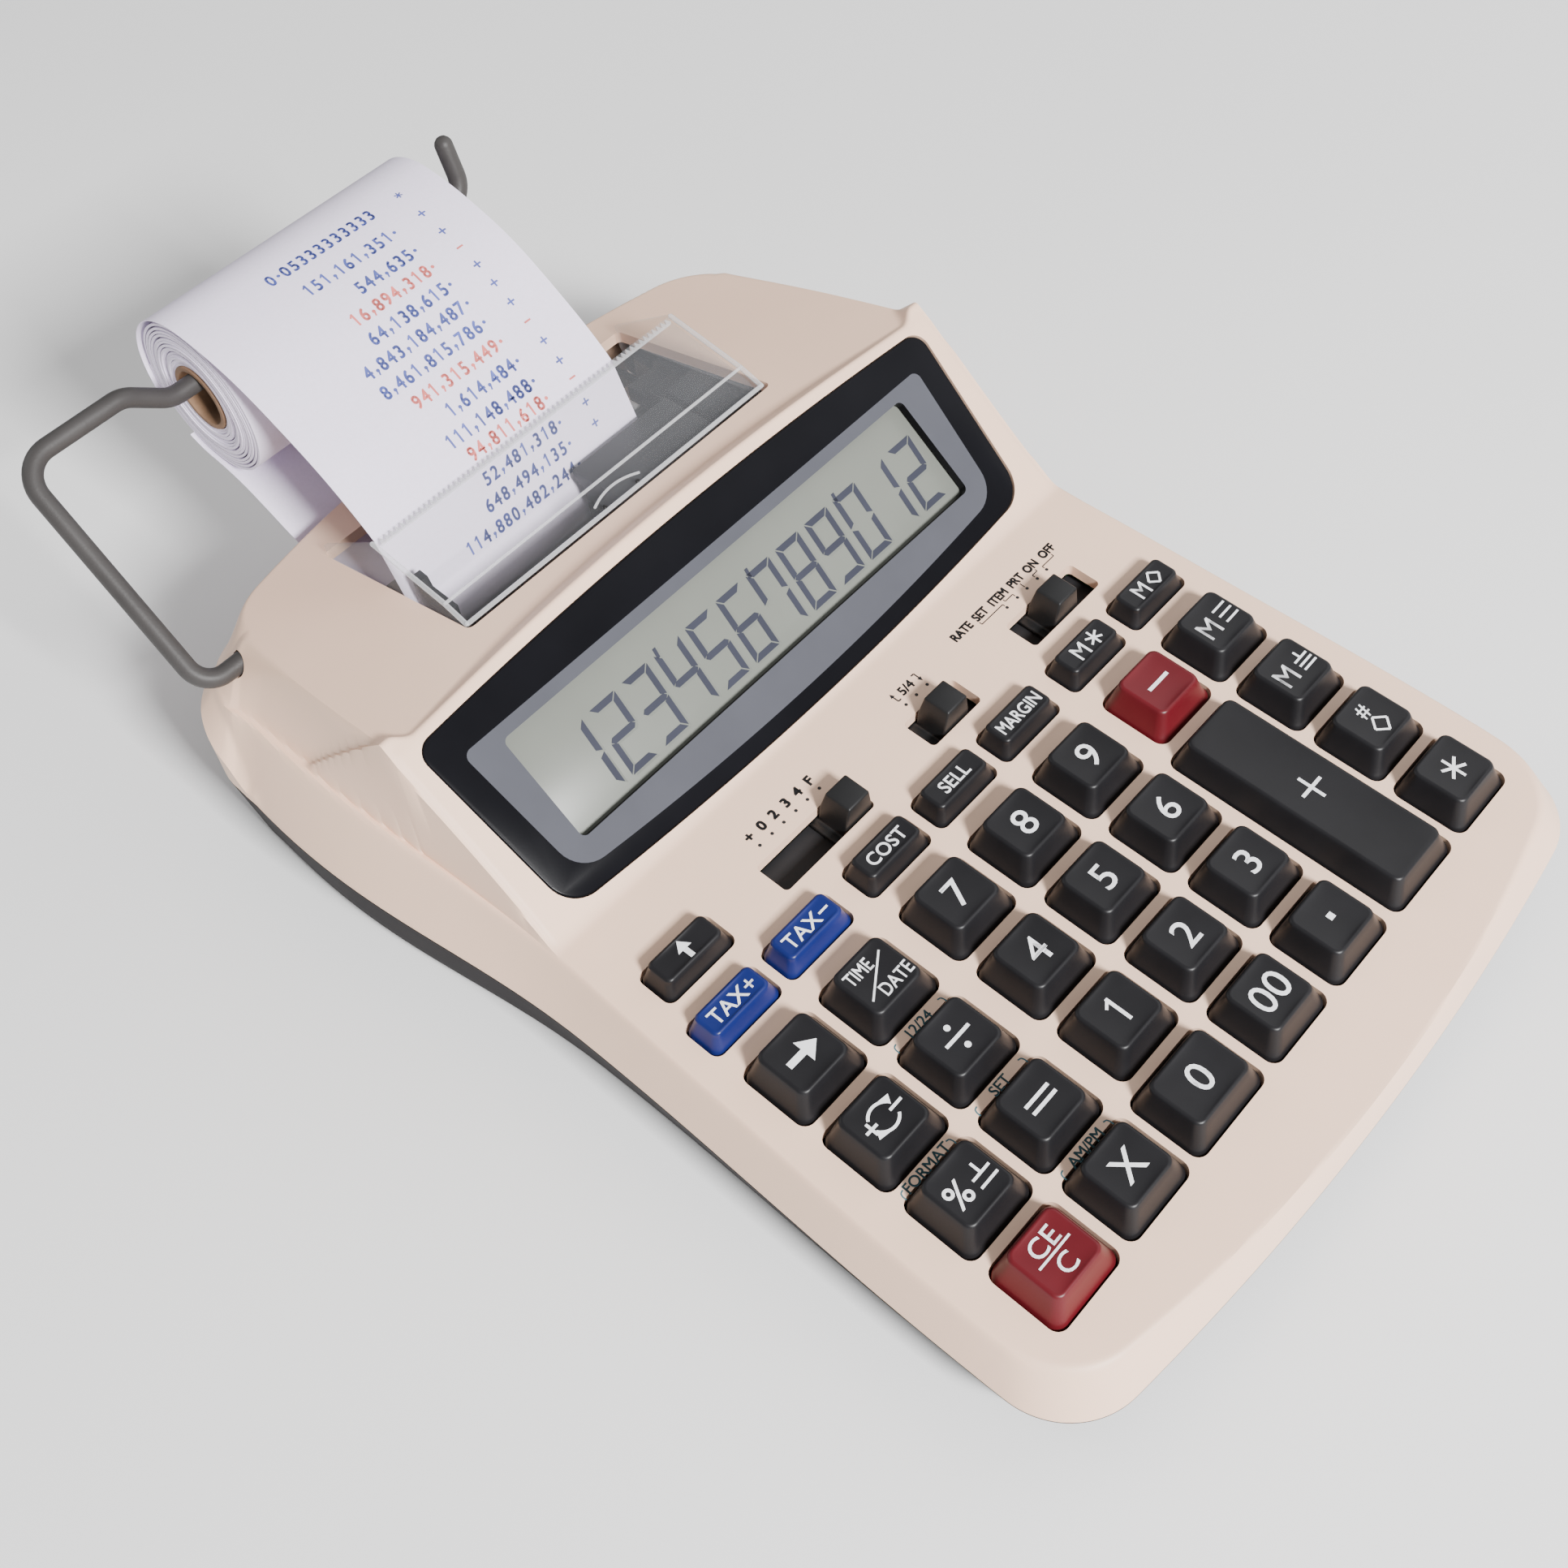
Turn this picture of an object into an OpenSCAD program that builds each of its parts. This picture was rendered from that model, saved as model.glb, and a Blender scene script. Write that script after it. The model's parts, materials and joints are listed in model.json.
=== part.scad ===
// Compact desktop printing calculator: two case shells, a sloping keyboard
// deck, a raised display panel, a two-colour impact printer under a clear
// cover, and a bent wire arm that carries the paper roll behind the case.
// Origin: on the desk, under the middle of the whole outline. +X is the
// user's right, +Y is towards the back, +Z is up. Millimetres.

/* [Case] */
// Half-width of the case at its waist, along the seam
waist_w = 69.7; // [69:0.1:70.4]
// Half-width of the case near the front, along the seam
front_w = 71.7; // [71:0.1:72.4]
// Half-width of the case near the back, along the seam
rear_w = 74.5; // [74:0.1:75.2]
// Distance from the origin to the middle of the front edge
front_y = 117.8; // [117.4:0.1:118.2]
// Distance from the origin to the middle of the back edge
rear_y = 89.3; // [88.5:0.1:90.5]
// Wall thickness of both shells
wall = 2.3; // [2:0.1:2.5]

/* [Keyboard] */
// Tilt of the keyboard deck above the desk
deck_tilt = 6; // [5.5:0.1:6.5]
// Height of the deck's surface at the middle key
deck_h = 21.5; // [21:0.1:22]
// Travel of a key
key_travel = 2.5; // [1.5:0.1:2.6]
// Gap between a key and the edge of its hole
key_gap = 0.35; // [0.3:0.05:0.5]
// Height of a main key above the deck
key_h = 4.55; // [4:0.05:5]
// Height of a small key above the deck
small_key_h = 3.2; // [2.8:0.1:3.6]

/* [Display] */
// Height of the display panel's top edge above the desk
crest_z = 53.4; // [53:0.1:54]
// How far the rim round the display rises in its middle
hood_rise = 3.5; // [2.5:0.1:4]
// How far the display's surround stands out from the sides of the housing
cheek_out = 0.9; // [0.5:0.1:1.2]

/* [Printer] */
// Width of the paper
paper_w = 56.8; // [56:0.1:57.5]
// Radius of the paper roll as fitted
roll_r = 15.1; // [12:0.1:15.3]
// Radius of the platen roller
platen_r = 6.5; // [6.2:0.1:6.6]

/* [Paper arm] */
// Radius of the wire
wire_r = 1.75; // [1.6:0.05:1.75]
// Inner radius of the bends
bend_r = 6; // [4:0.5:7]

/* [Power] */
// Diameter of one battery cell
cell_d = 14.2; // [14:0.1:14.4]
// Length of one battery cell
cell_l = 50; // [49.5:0.1:50.5]

/* [Hidden] */
// seam between the two shells: a plane that rises to the back
seam_z = 15.3;
seam_rise = 0.05;
seam_gap = 0.3;
// plan outline
waist_y = -15.7;
front_bulge_y = -91.7;
rear_bulge_y = 44.3;
skirt_in = 3.3;
ledge_w = 4.4;
ridge_over = 4;
front_bow = 0.001;
deck_bow = 0.00183;
rear_bow = 0.0024;
front_corner = 14;
rear_corner = 13;
base_in = 2.2;
base_z = 2;
floor_t = 2;
// deck plane: passes through the middle key
deck_y = -65.7;
// display panel and the top of the printer housing
foot_y = -7.3;
crest_y = 22.3;
top_fall = 10.1;
panel_tilt = atan((crest_z - deck_z(foot_y)) / (crest_y - foot_y));
// keys: bottom and top half sizes, and how far the top sits back
main_key = [7.4, 6.45];
main_top = [5.25, 4.85];
main_back = 0.6;
small_key = [7.45, 3.45];
small_top = [6.05, 2.45];
small_back = 0.35;
plus_key = [8.5, 21.9];
zero_key = [8.75, 6.45];
key_lip = 0.8;
key_foot = -4.2;
lip_t = 1;
// column and row positions of the keyboard, on the deck
col = [-54.3, -37, -17.5, 0, 17.4, 36.6, 54.5];
row = [30.2, 15.6, 0, -15.5, -30.9];
// name, x, y, kind (0 small, 1 main, 2 zero, 3 plus), colour
keys = [
    ["key_shift_right", col[0], row[1], 1, "#222226"],
    ["key_time_date", col[1], row[1], 1, "#222226"],
    ["key_7", col[2], row[1], 1, "#222226"],
    ["key_8", col[3], row[1], 1, "#222226"],
    ["key_9", col[4], row[1], 1, "#222226"],
    ["key_minus", col[5] + 0.7, row[1], 1, "#6d1a20"],
    ["key_memory_plus", col[6], row[1], 1, "#222226"],
    ["key_sign_change", col[0], row[2], 1, "#222226"],
    ["key_divide", col[1], row[2], 1, "#222226"],
    ["key_4", col[2], row[2], 1, "#222226"],
    ["key_5", col[3], row[2], 1, "#222226"],
    ["key_6", col[4], row[2], 1, "#222226"],
    ["key_memory_minus", col[6], row[2], 1, "#222226"],
    ["key_percent", col[0], row[3], 1, "#222226"],
    ["key_equals", col[1], row[3], 1, "#222226"],
    ["key_1", col[2], row[3], 1, "#222226"],
    ["key_2", col[3], row[3], 1, "#222226"],
    ["key_3", col[4], row[3], 1, "#222226"],
    ["key_subtotal", col[6], row[3], 1, "#222226"],
    ["key_clear", col[0], row[4], 1, "#6d1a20"],
    ["key_multiply", col[1], row[4], 1, "#222226"],
    ["key_0", col[2] - 1.2, row[4], 2, "#222226"],
    ["key_00", col[3], row[4], 1, "#222226"],
    ["key_point", col[4], row[4], 1, "#222226"],
    ["key_total", col[6], row[4], 1, "#222226"],
    ["key_plus", col[5] - 0.6, row[3], 3, "#222226"],
    ["key_paper_feed", -52.4, 41.7, 0, "#222226"],
    ["key_tax_plus", col[0], row[0], 0, "#1d2a66"],
    ["key_tax_minus", col[1], row[0], 0, "#1d2a66"],
    ["key_cost", col[2], row[0], 0, "#222226"],
    ["key_sell", col[3], row[0], 0, "#222226"],
    ["key_margin", col[4], row[0], 0, "#222226"],
    ["key_memory_total", col[5], row[0], 0, "#222226"],
    ["key_memory_subtotal", col[6], row[0], 0, "#222226"]
];
// name, slot from x, slot to x, knob x
switches = [
    ["decimal_switch", -33, -10.8, -14.6],
    ["rounding_switch", 4.5, 17.6, 11.05],
    ["power_switch", 32.7, 51.7, 42.2]
];
slot_y = [38.3, 45.1];
knob_half = 3.3;
knob_h = 4.2;
// display lens, along the panel: half-widths and heights above the foot line
lens_bottom = 0.5;
lens_top = 40;
lens_half_low = 58.6;
lens_half_high = 61.6;
lens_t = 1.8;
window_x = 49.5;
window_v = [10, 30.2];
// printer opening in the housing, and the clear cover
open_x = [-38.3, 35.8];
open_y = [34, 74.2];
lip = [35.3, 50.6];
crease = [40.5, 52.6];
tear = [57.3, 56.4];
cover_t = 1.4;
cheek_t = 0.8;
cover_gap = 0.3;
cover_hinge = [72.2, 41.8];
cover_pin_r = 1;
paper_x = -8.3;
platen = [58, 36];
platen_shaft_r = 1.5;
fit_gap = 0.05;
gear_teeth = 32;
pinion_teeth = 12;
gear_module = 0.5;
gear_x = 37.2;
gear_w = 3;
pinion_angle = -45;
pinion_reach = gear_module * (gear_teeth + pinion_teeth) / 2;
motor_axis = [platen[0] + pinion_reach * cos(pinion_angle), platen[1] + pinion_reach * sin(pinion_angle)];
motor_r = 8;
motor_x = [22, 34.2];
guide = [37.5, 28.5];
guide_r = 1.5;
carriage_x = 14;
carriage_half = 12;
wheel = [45, 37];
wheel_r = 5;
axle_r = 1;
ink = [35, 36.3];
ink_r = 4.7;
frame_x = [-40, 34.5];
frame_z = 8.5;
plate_t = 1.6;
// paper roll and its arm
hinge = [68.7, 41.35];
roll = [102.1, 63.9];
core_r = 5.3;
core_t = 1;
roll_gap = 0.45;
tape_t = 0.25;
arm_end = -53;
arm_boss_r = 3.5;
arm_path = [
    [-64, 68.7, 41.35],
    [-70.2, 68.7, 41.35],
    [-70.2, 102.8, 72.6],
    [-48.8, 102.8, 72.6],
    [-41, 102.1, 67.3],
    [28.3, 102.1, 67.3],
    [28.3, 104.9, 77.6]
];
// screws, feet, batteries, adaptor socket
screw_at = [[35, -110], [59.5, -8], [53, 54]];
boss_r = 3.2;
boss_z = 9;
foot_at = [[58, -88], [60, 66]];
foot_r = 6;
bay_x = 53;
bay_y = [-8.5, 23.5];
bay_top = 19.4;
door_x = 50;
door_y = [-6, 21];
door_gap = 0.4;
jack_at = [47, 27];
jack_r = 4;
jack_bore = 2.8;
lcd_back = 4.4;
mat_top = -7.4;
mat_posts = [[-27.25, -15.5], [-27.25, 7.8], [27.35, 15.6], [27, 30.2]];
ROUND = 48;

PARTS = ["top_case", "bottom_case", "display_lens", "lcd_panel", "key_mat", "main_board",
    "paper_arm", "roll_core", "paper_roll", "paper_tape", "printer_cover", "printer_frame",
    "platen_roller", "print_carriage", "print_wheel", "ink_roller", "printer_motor",
    "motor_pinion", "battery_door", "batteries", "rubber_feet", "case_screws", "adaptor_socket"];

// ---- surfaces of the case -------------------------------------------------

function deck_z(y) = deck_h + (y - deck_y) * tan(deck_tilt);
function top_z(y) = crest_z - (y - crest_y) * tan(top_fall);
function seam(y) = seam_z + seam_rise * y;

// half-width of the case along the seam: two soft bulges and a waist
function case_w(y) = y < waist_y
    ? waist_w + (front_w - waist_w) * pow(sin(90 * min(1, (waist_y - y) / (waist_y - front_bulge_y))), 2)
    : waist_w + (rear_w - waist_w) * pow(sin(90 * min(1.3, (y - waist_y) / (rear_bulge_y - waist_y))), 2);
// the skirt is broader beside the printer housing
function ledge(y) = ledge_w * pow(sin(180 * min(1, max(0, (y + 38) / 150))), 2);
// half-width of the printer housing where it meets the skirt, along the edge
// of its roof, and where its sides would be ridge_over above the roof
function valley_w(y) = case_w(y) - ledge(y) - skirt_in - 0.5;
function roof_w(y) = min(65 - 0.00093 * y * y, valley_w(y) - 0.6);
function ridge_w(y) = valley_w(y) - (valley_w(y) - roof_w(y)) * (1 + ridge_over / max(top_z(y) - deck_z(y), 9));
function half_w(kind, y) = kind == "case" ? case_w(y)
    : kind == "crest" ? case_w(y) - ledge(y)
    : kind == "valley" ? valley_w(y)
    : ridge_w(y);

// one bowed edge and its round corner, from the middle line outwards
function edge(dist, bow, w, r, side) =
    let (x0 = w - r, slope0 = atan(2 * bow * x0), x1 = w - r * (1 - sin(slope0)), slope = atan(2 * bow * x1))
    concat(
        [for (i = [0:6]) let (x = x1 * i / 6) [x, side * (dist - bow * x * x)]],
        [for (i = [1:6]) let (a = -90 + slope + (90 - slope) * i / 6)
            [x1 - r * sin(slope) + r * cos(a), side * (dist - bow * x1 * x1 - r * cos(slope) - r * sin(a))]]
    );
function reversed(v) = [for (i = [len(v) - 1:-1:0]) v[i]];
// closed plan outline, counter-clockwise from the middle of the front edge
function outline(kind, front, fbow, rear, rbow, inset, rf, rr) =
    let (
        f = edge(front, fbow, half_w(kind, -front) - inset, rf, -1),
        b = reversed(edge(rear, rbow, half_w(kind, rear) - inset, rr, 1)),
        y0 = f[len(f) - 1][1],
        y1 = b[0][1],
        s = [for (i = [1:13]) let (y = y0 + (y1 - y0) * i / 14) [half_w(kind, y) - inset, y]],
        right = concat(f, s, b)
    )
    concat(right, [for (i = [len(right) - 2:-1:1]) [-right[i][0], right[i][1]]]);

// solid between matching rings of points, listed from the bottom up
module skin(rings) {
    n = len(rings[0]);
    m = len(rings);
    points = [for (r = rings) each r];
    sides = [for (k = [0:m - 2], i = [0:n - 1])
        let (a = k * n + i, b = k * n + (i + 1) % n, c = b + n, d = a + n)
        each [[a, d, c], [a, c, b]]];
    polyhedron(points = points, faces = concat(
        [[for (i = [0:n - 1]) i]],
        sides,
        [[for (i = [n - 1:-1:0]) (m - 1) * n + i]]
    ));
}

// the low body of the top case, drawn inwards by w, its floor lowered by drop
module case_body(w, drop) {
    low = outline("case", front_y - w, front_bow, rear_y - w, rear_bow, w, front_corner, rear_corner);
    high = outline("crest", front_y - 1 - w, deck_bow, rear_y - 1.8 - w, rear_bow, skirt_in + w,
        front_corner, rear_corner);
    skin([
        [for (p = low) [p[0], p[1], seam(p[1]) - drop]],
        [for (p = high) [p[0], p[1], deck_z(p[1]) - w]]
    ]);
}

// side walls of the raised housing, drawn inwards by w
module flanks(w, drop) {
    foot = outline("valley", 40 - w, 0.001, rear_y - 2 - w, 0.0026, w, 4, 10);
    ridge = outline("ridge", 40 - w, 0.001, rear_y - 4.4 - w, 0.0028, w, 4, 9);
    skin([
        [for (p = foot) [p[0], p[1], deck_z(p[1]) - drop]],
        [for (p = foot) [p[0], p[1], deck_z(p[1])]],
        [for (p = ridge) [p[0], p[1], top_z(p[1]) + ridge_over]]
    ]);
}

// solid 200 wide along X with the given side view
module side_view(shape) rotate([90, 0, 90]) linear_extrude(200, center = true) polygon(shape);

// the raised printer and display housing, drawn inwards by w
module housing(w, drop) {
    shift = w / (1 + cos(panel_tilt + top_fall));
    corner = [crest_y + shift * (sin(panel_tilt) - sin(top_fall)),
        crest_z - shift * (cos(panel_tilt) + cos(top_fall))];
    low_y = foot_y - 1.5 + w / sin(panel_tilt);
    low_z = corner[1] - (corner[0] - low_y) * tan(panel_tilt);
    intersection() {
        flanks(w, drop);
        side_view([[low_y, low_z], corner, [120, corner[1] - (120 - corner[0]) * tan(top_fall)],
            [120, -20], [low_y - 20, -20], [low_y - 20, low_z]]);
    }
}

// the display surround stands a little proud of the housing's sides
module surround() {
    low_y = foot_y - 1.5;
    low_z = crest_z - (crest_y - low_y) * tan(panel_tilt);
    intersection() {
        flanks(-cheek_out, 1);
        side_view([[low_y, low_z], [crest_y, crest_z], [crest_y + 3.7, crest_z - 0.9], [31, 49.5], [41, 40.8],
            [49, 33.4], [49, -20], [low_y, -20]]);
    }
}

// bowed rim that stands behind the display
module hood() {
    steps = 12;
    half = 61.5;
    rings = [for (i = [0:steps]) let (
            x = half - 2 * half * i / steps,
            v = 0.3 + hood_rise * (1 - pow(x / half, 2)),
            y = crest_y + v * cos(panel_tilt),
            z = crest_z + v * sin(panel_tilt),
            back = y + 2.5 + 0.7 * v
        ) [[x, y, z], [x, back, top_z(back) - 0.4], [x, crest_y + 2, crest_z - 3], [x, crest_y - 4, crest_z - 5]]];
    skin(rings);
}

module on_deck() translate([0, deck_y, deck_h]) rotate([deck_tilt, 0, 0]) children();
module on_panel() translate([0, foot_y, deck_z(foot_y)]) rotate([panel_tilt, 0, 0]) children();

// rectangle with cut corners
module cut_rect(half, c) {
    polygon([for (q = [[1, 1], [-1, 1], [-1, -1], [1, -1]], e = [0, 1])
        let (flip = q[0] * q[1] > 0 ? e : 1 - e)
        [q[0] * (half[0] - (flip == 1 ? c : 0)), q[1] * (half[1] - (flip == 1 ? 0 : c))]]);
}

// box given by its low and high corners
module block(a, b) translate(a) cube(b - a);

// rod of radius r along X at (y, z)
module rod_x(x0, x1, at, r) translate([x0, at[0], at[1]]) rotate([0, 90, 0]) cylinder(x1 - x0, r = r, $fn = ROUND);

function key_half(kind) = kind == 0 ? small_key : kind == 2 ? zero_key : kind == 3 ? plus_key : main_key;
function lens_w(v) = lens_half_low + (lens_half_high - lens_half_low) * (v - lens_bottom) / (lens_top - lens_bottom);

// outline of the display lens, in the panel's own plane
module lens_shape(inset) {
    n = 10;
    offset(r = 4, $fn = 32) offset(delta = -4 - inset) polygon(concat(
        [for (i = [0:n]) let (x = lens_half_low * (2 * i / n - 1)) [x, lens_bottom + 0.0007 * x * x]],
        [for (i = [0:n]) let (x = lens_half_high * (1 - 2 * i / n)) [x, lens_top - 0.0006 * x * x]]
    ));
}

// ---- case -----------------------------------------------------------------

module top_case() {
    color("#d9cfc4") difference() {
        union() {
            difference() {
                union() {
                    case_body(0, 0);
                    housing(0, 1);
                    surround();
                    hood();
                }
                case_body(wall, 1);
                housing(wall, wall + 1);
            }
            for (s = [-1, 1], p = screw_at) {
                top = p[1] > foot_y ? top_z(p[1]) : deck_z(p[1]);
                translate([s * p[0], p[1], boss_z]) cylinder(top - boss_z - 1, r = boss_r, $fn = ROUND);
            }
            rod_x(-63.2, arm_end + 2, hinge, arm_boss_r);
            for (x = [open_x[0] - 2, open_x[1]])
                block([x, cover_hinge[0] - 2.2, cover_hinge[1] - 2.2], [x + 2, cover_hinge[0] + 2.2, 43.6]);
            on_panel() block([-59, 2.5, -lcd_back], [59, 36.5, -2]);
            on_deck() for (p = mat_posts)
                translate([p[0], p[1], mat_top]) cylinder(-mat_top - 1, r = 1.1, $fn = 24);
        }
        for (s = [-1, 1], p = screw_at)
            translate([s * p[0], p[1], boss_z - 1]) cylinder(9, r = 1.55, $fn = 24);
        rod_x(-75, arm_end + 1, hinge, wire_r + fit_gap);
        on_deck() {
            for (k = keys)
                translate([k[1], k[2], -4]) linear_extrude(6)
                    cut_rect(key_half(k[3]) + [key_gap, key_gap], 1.5);
            for (s = switches)
                block([s[1], slot_y[0], -4], [s[2], slot_y[1], 2]);
        }
        on_panel() {
            translate([0, 0, -lens_t - 0.1]) linear_extrude(6) lens_shape(-0.15);
            block([-52.6, 8, -8], [52.6, 32.2, 0]);
        }
        block([open_x[0], open_y[0], 35], [open_x[1], open_y[1], 60]);
        block([paper_x - paper_w / 2 - 2, 76, 36.6], [paper_x + paper_w / 2 + 2, 96, 40.2]);
        rod_x(open_x[0] - 1.8, open_x[1] + 1.8, cover_hinge, cover_pin_r + fit_gap);
        translate([jack_at[0], 60, jack_at[1]]) rotate([-90, 0, 0]) cylinder(40, r = jack_r + 0.2, $fn = ROUND);
    }
}

module bottom_case() {
    color("#4b484b") difference() {
        union() {
            difference() {
                base_body(0, base_z);
                base_body(wall, base_z + floor_t);
            }
            for (s = [-1, 1], p = screw_at)
                translate([s * p[0], p[1], base_z + 0.5])
                    cylinder(boss_z - 0.2 - base_z - 0.5, r = 4, $fn = ROUND);
            for (x = [-30, 30], y = [40, 72])
                translate([x, y, base_z + 0.5]) cylinder(frame_z - base_z - 0.5, r = 3, $fn = ROUND);
            difference() {
                block([-bay_x - 1.6, bay_y[0] - 1.6, base_z + 1], [bay_x + 1.6, bay_y[1] + 1.6, bay_top + 1.4]);
                block([-bay_x, bay_y[0], base_z], [bay_x, bay_y[1], bay_top]);
            }
        }
        block([-door_x - door_gap, door_y[0] - door_gap, 0],
            [door_x + door_gap, door_y[1] + door_gap, base_z + floor_t + 1]);
        for (s = [-1, 1], p = screw_at) {
            translate([s * p[0], p[1], 0]) cylinder(20, r = 1.6, $fn = 24);
            translate([s * p[0], p[1], 0]) cylinder(base_z + 3, r = 3, $fn = ROUND);
        }
        for (s = [-1, 1], p = foot_at)
            translate([s * p[0], p[1], 0]) cylinder(base_z + 0.6, r = foot_r + 0.1, $fn = ROUND);
    }
}

// the tray of the bottom case, its wall drawn inwards by w, from height z0 up
module base_body(w, z0) {
    low = outline("case", front_y - base_in - w, front_bow, rear_y - base_in - w, rear_bow,
        base_in + w, front_corner, rear_corner);
    high = outline("case", front_y - w, front_bow, rear_y - w, rear_bow, w, front_corner, rear_corner);
    over = w > 0 ? 1 : 0;
    skin([
        [for (p = low) [p[0], p[1], z0]],
        [for (p = high) [p[0], p[1], seam(p[1]) - seam_gap + over]]
    ]);
}

module battery_door() {
    color("#4b484b") union() {
        block([-door_x, door_y[0], base_z], [door_x, door_y[1], base_z + 1.8]);
        block([-8, door_y[0] + 1, base_z + 1.5], [8, door_y[0] + 2.5, base_z + 3]);
    }
}

module batteries() {
    for (s = [-1, 1], y = [0.1, 15.1])
        translate([s * (1.2 + cell_l / 2), y, base_z + 2.6 + cell_d / 2]) {
            color("#2f6f4f") rotate([0, 90, 0]) cylinder(cell_l - 2, r = cell_d / 2, center = true, $fn = ROUND);
            color("silver") rotate([0, 90, 0]) cylinder(cell_l, r = 2.7, center = true, $fn = ROUND);
        }
}

module rubber_feet() {
    for (s = [-1, 1], p = foot_at)
        color("#1c1c1e") translate([s * p[0], p[1], 0]) cylinder(base_z + 0.5, r = foot_r, $fn = ROUND);
}

module case_screws() {
    for (s = [-1, 1], p = screw_at)
        color("silver") translate([s * p[0], p[1], 0]) difference() {
            union() {
                translate([0, 0, base_z + 0.8]) cylinder(2, r = 2.8, $fn = ROUND);
                translate([0, 0, base_z + 2]) cylinder(boss_z + 3, r = 1.4, $fn = 24);
            }
            block([-1.6, -0.35, base_z], [1.6, 0.35, base_z + 1.6]);
            block([-0.35, -1.6, base_z], [0.35, 1.6, base_z + 1.6]);
        }
}

module adaptor_socket() {
    color("#1c1c1e") translate([jack_at[0], 0, jack_at[1]]) difference() {
        union() {
            block([-5.5, 71, -5.5], [5.5, 78.3, 6]);
            translate([0, 77.5, 0]) rotate([-90, 0, 0]) cylinder(5.9, r = jack_r, $fn = ROUND);
        }
        translate([0, 73, 0]) rotate([-90, 0, 0]) cylinder(20, r = jack_bore, $fn = ROUND);
    }
}

// ---- display --------------------------------------------------------------

module display_lens() {
    color("#1a1a1e") on_panel() translate([0, 0, -lens_t]) linear_extrude(lens_t) lens_shape(0);
}

module lcd_panel() {
    on_panel() {
        color("#9aa39b") block([-52.2, 8.4, -lcd_back], [52.2, 31.8, -lens_t - 0.4]);
        color("#2c6e49") block([-54.5, 7, -lcd_back - 1.6], [54.5, 33, -lcd_back]);
    }
}

// ---- keyboard -------------------------------------------------------------

module key_mat() {
    color("#8c9096") on_deck() union() {
        block([-61, -39, -8.2], [61, 34.5, mat_top]);
        block([-61, 34, -8.2], [-44, 46, mat_top]);
        for (k = keys)
            translate([k[1], k[2], -7.8]) cylinder(0.8, r = 2.6, $fn = 24);
    }
}

module main_board() {
    on_deck() {
        color("#2c6e49") block([-61.5, -39.5, -9.8], [61.5, 48, -8.2]);
        color("#1c1c1e") block([-12, 2, -12], [4, 14, -9.8]);
        for (s = switches)
            color("#1c1c1e") block([s[1] - 1, slot_y[0] - 0.5, -8.2], [s[2] + 1, slot_y[1] + 0.5, -3.9]);
    }
}

module key(k) {
    half = key_half(k[3]);
    small = k[3] == 0;
    top = small ? small_top : half - (main_key - main_top);
    high = small ? small_key_h : key_h;
    back = small ? small_back : main_back;
    color(k[4]) on_deck() translate([k[1], k[2], 0]) union() {
        hull() {
            translate([0, 0, -0.5]) linear_extrude(0.6) key_plan(half, small ? 1.6 : 2.1);
            translate([0, back, high - 0.3]) linear_extrude(0.3) key_plan(top, small ? 1.1 : 1.5);
        }
        translate([0, 0, key_foot]) linear_extrude(-key_foot - 0.3) cut_rect(half - [0.05, 0.05], 1.5);
        translate([0, 0, key_foot]) linear_extrude(lip_t) cut_rect(half + [key_lip, key_lip], 1.5);
    }
}

// rounded rectangle
module key_plan(half, r) {
    for (sx = [-1, 1], sy = [-1, 1])
        translate([sx * (half[0] - r), sy * (half[1] - r)]) circle(r, $fn = 20);
}

module switch_knob(s) {
    mid = (slot_y[0] + slot_y[1]) / 2;
    color("#1c1c1e") on_deck() translate([s[3], mid, 0]) union() {
        hull() {
            block([-knob_half, -3, -3.3], [knob_half, 3, 0.6]);
            block([-knob_half + 1.1, -2.6, 0], [knob_half - 0.4, 2.6, knob_h]);
        }
        block([-5, -4.3, -3.6], [5, 4.3, -2.7]);
    }
}

// ---- printer --------------------------------------------------------------

module printer_cover() {
    cheek = [lip, crease, tear, tear + [3, -1.8], [73.6, 46.4], [73.1, 44.4], cover_hinge + [1, 0],
        cover_hinge + [0.3, -1.2], cover_hinge + [-1.4, -0.6], cover_hinge + [-2.2, 1.8], [36, 48.6]];
    plate = [lip, crease, tear, tear + [-0.2, -1.3], crease + [0.3, -cover_t], lip + [0.5, -cover_t]];
    x0 = open_x[0] + cover_gap;
    x1 = open_x[1] - cover_gap;
    color("#b9bcc4", 0.45) union() {
        rotate([90, 0, 90]) translate([0, 0, x0]) linear_extrude(x1 - x0) polygon(plate);
        for (x = [x0, x1 - cheek_t])
            rotate([90, 0, 90]) translate([0, 0, x]) linear_extrude(cheek_t) polygon(cheek);
        rod_x(x0 - 1.8, x0 + 0.5, cover_hinge, cover_pin_r);
        rod_x(x1 - 0.5, x1 + 1.8, cover_hinge, cover_pin_r);
    }
}

// side plate of the printer: a stepped outline seen from the side
module frame_plate(x, t, shape) rotate([90, 0, 90]) translate([0, 0, x]) linear_extrude(t) polygon(shape);

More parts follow.
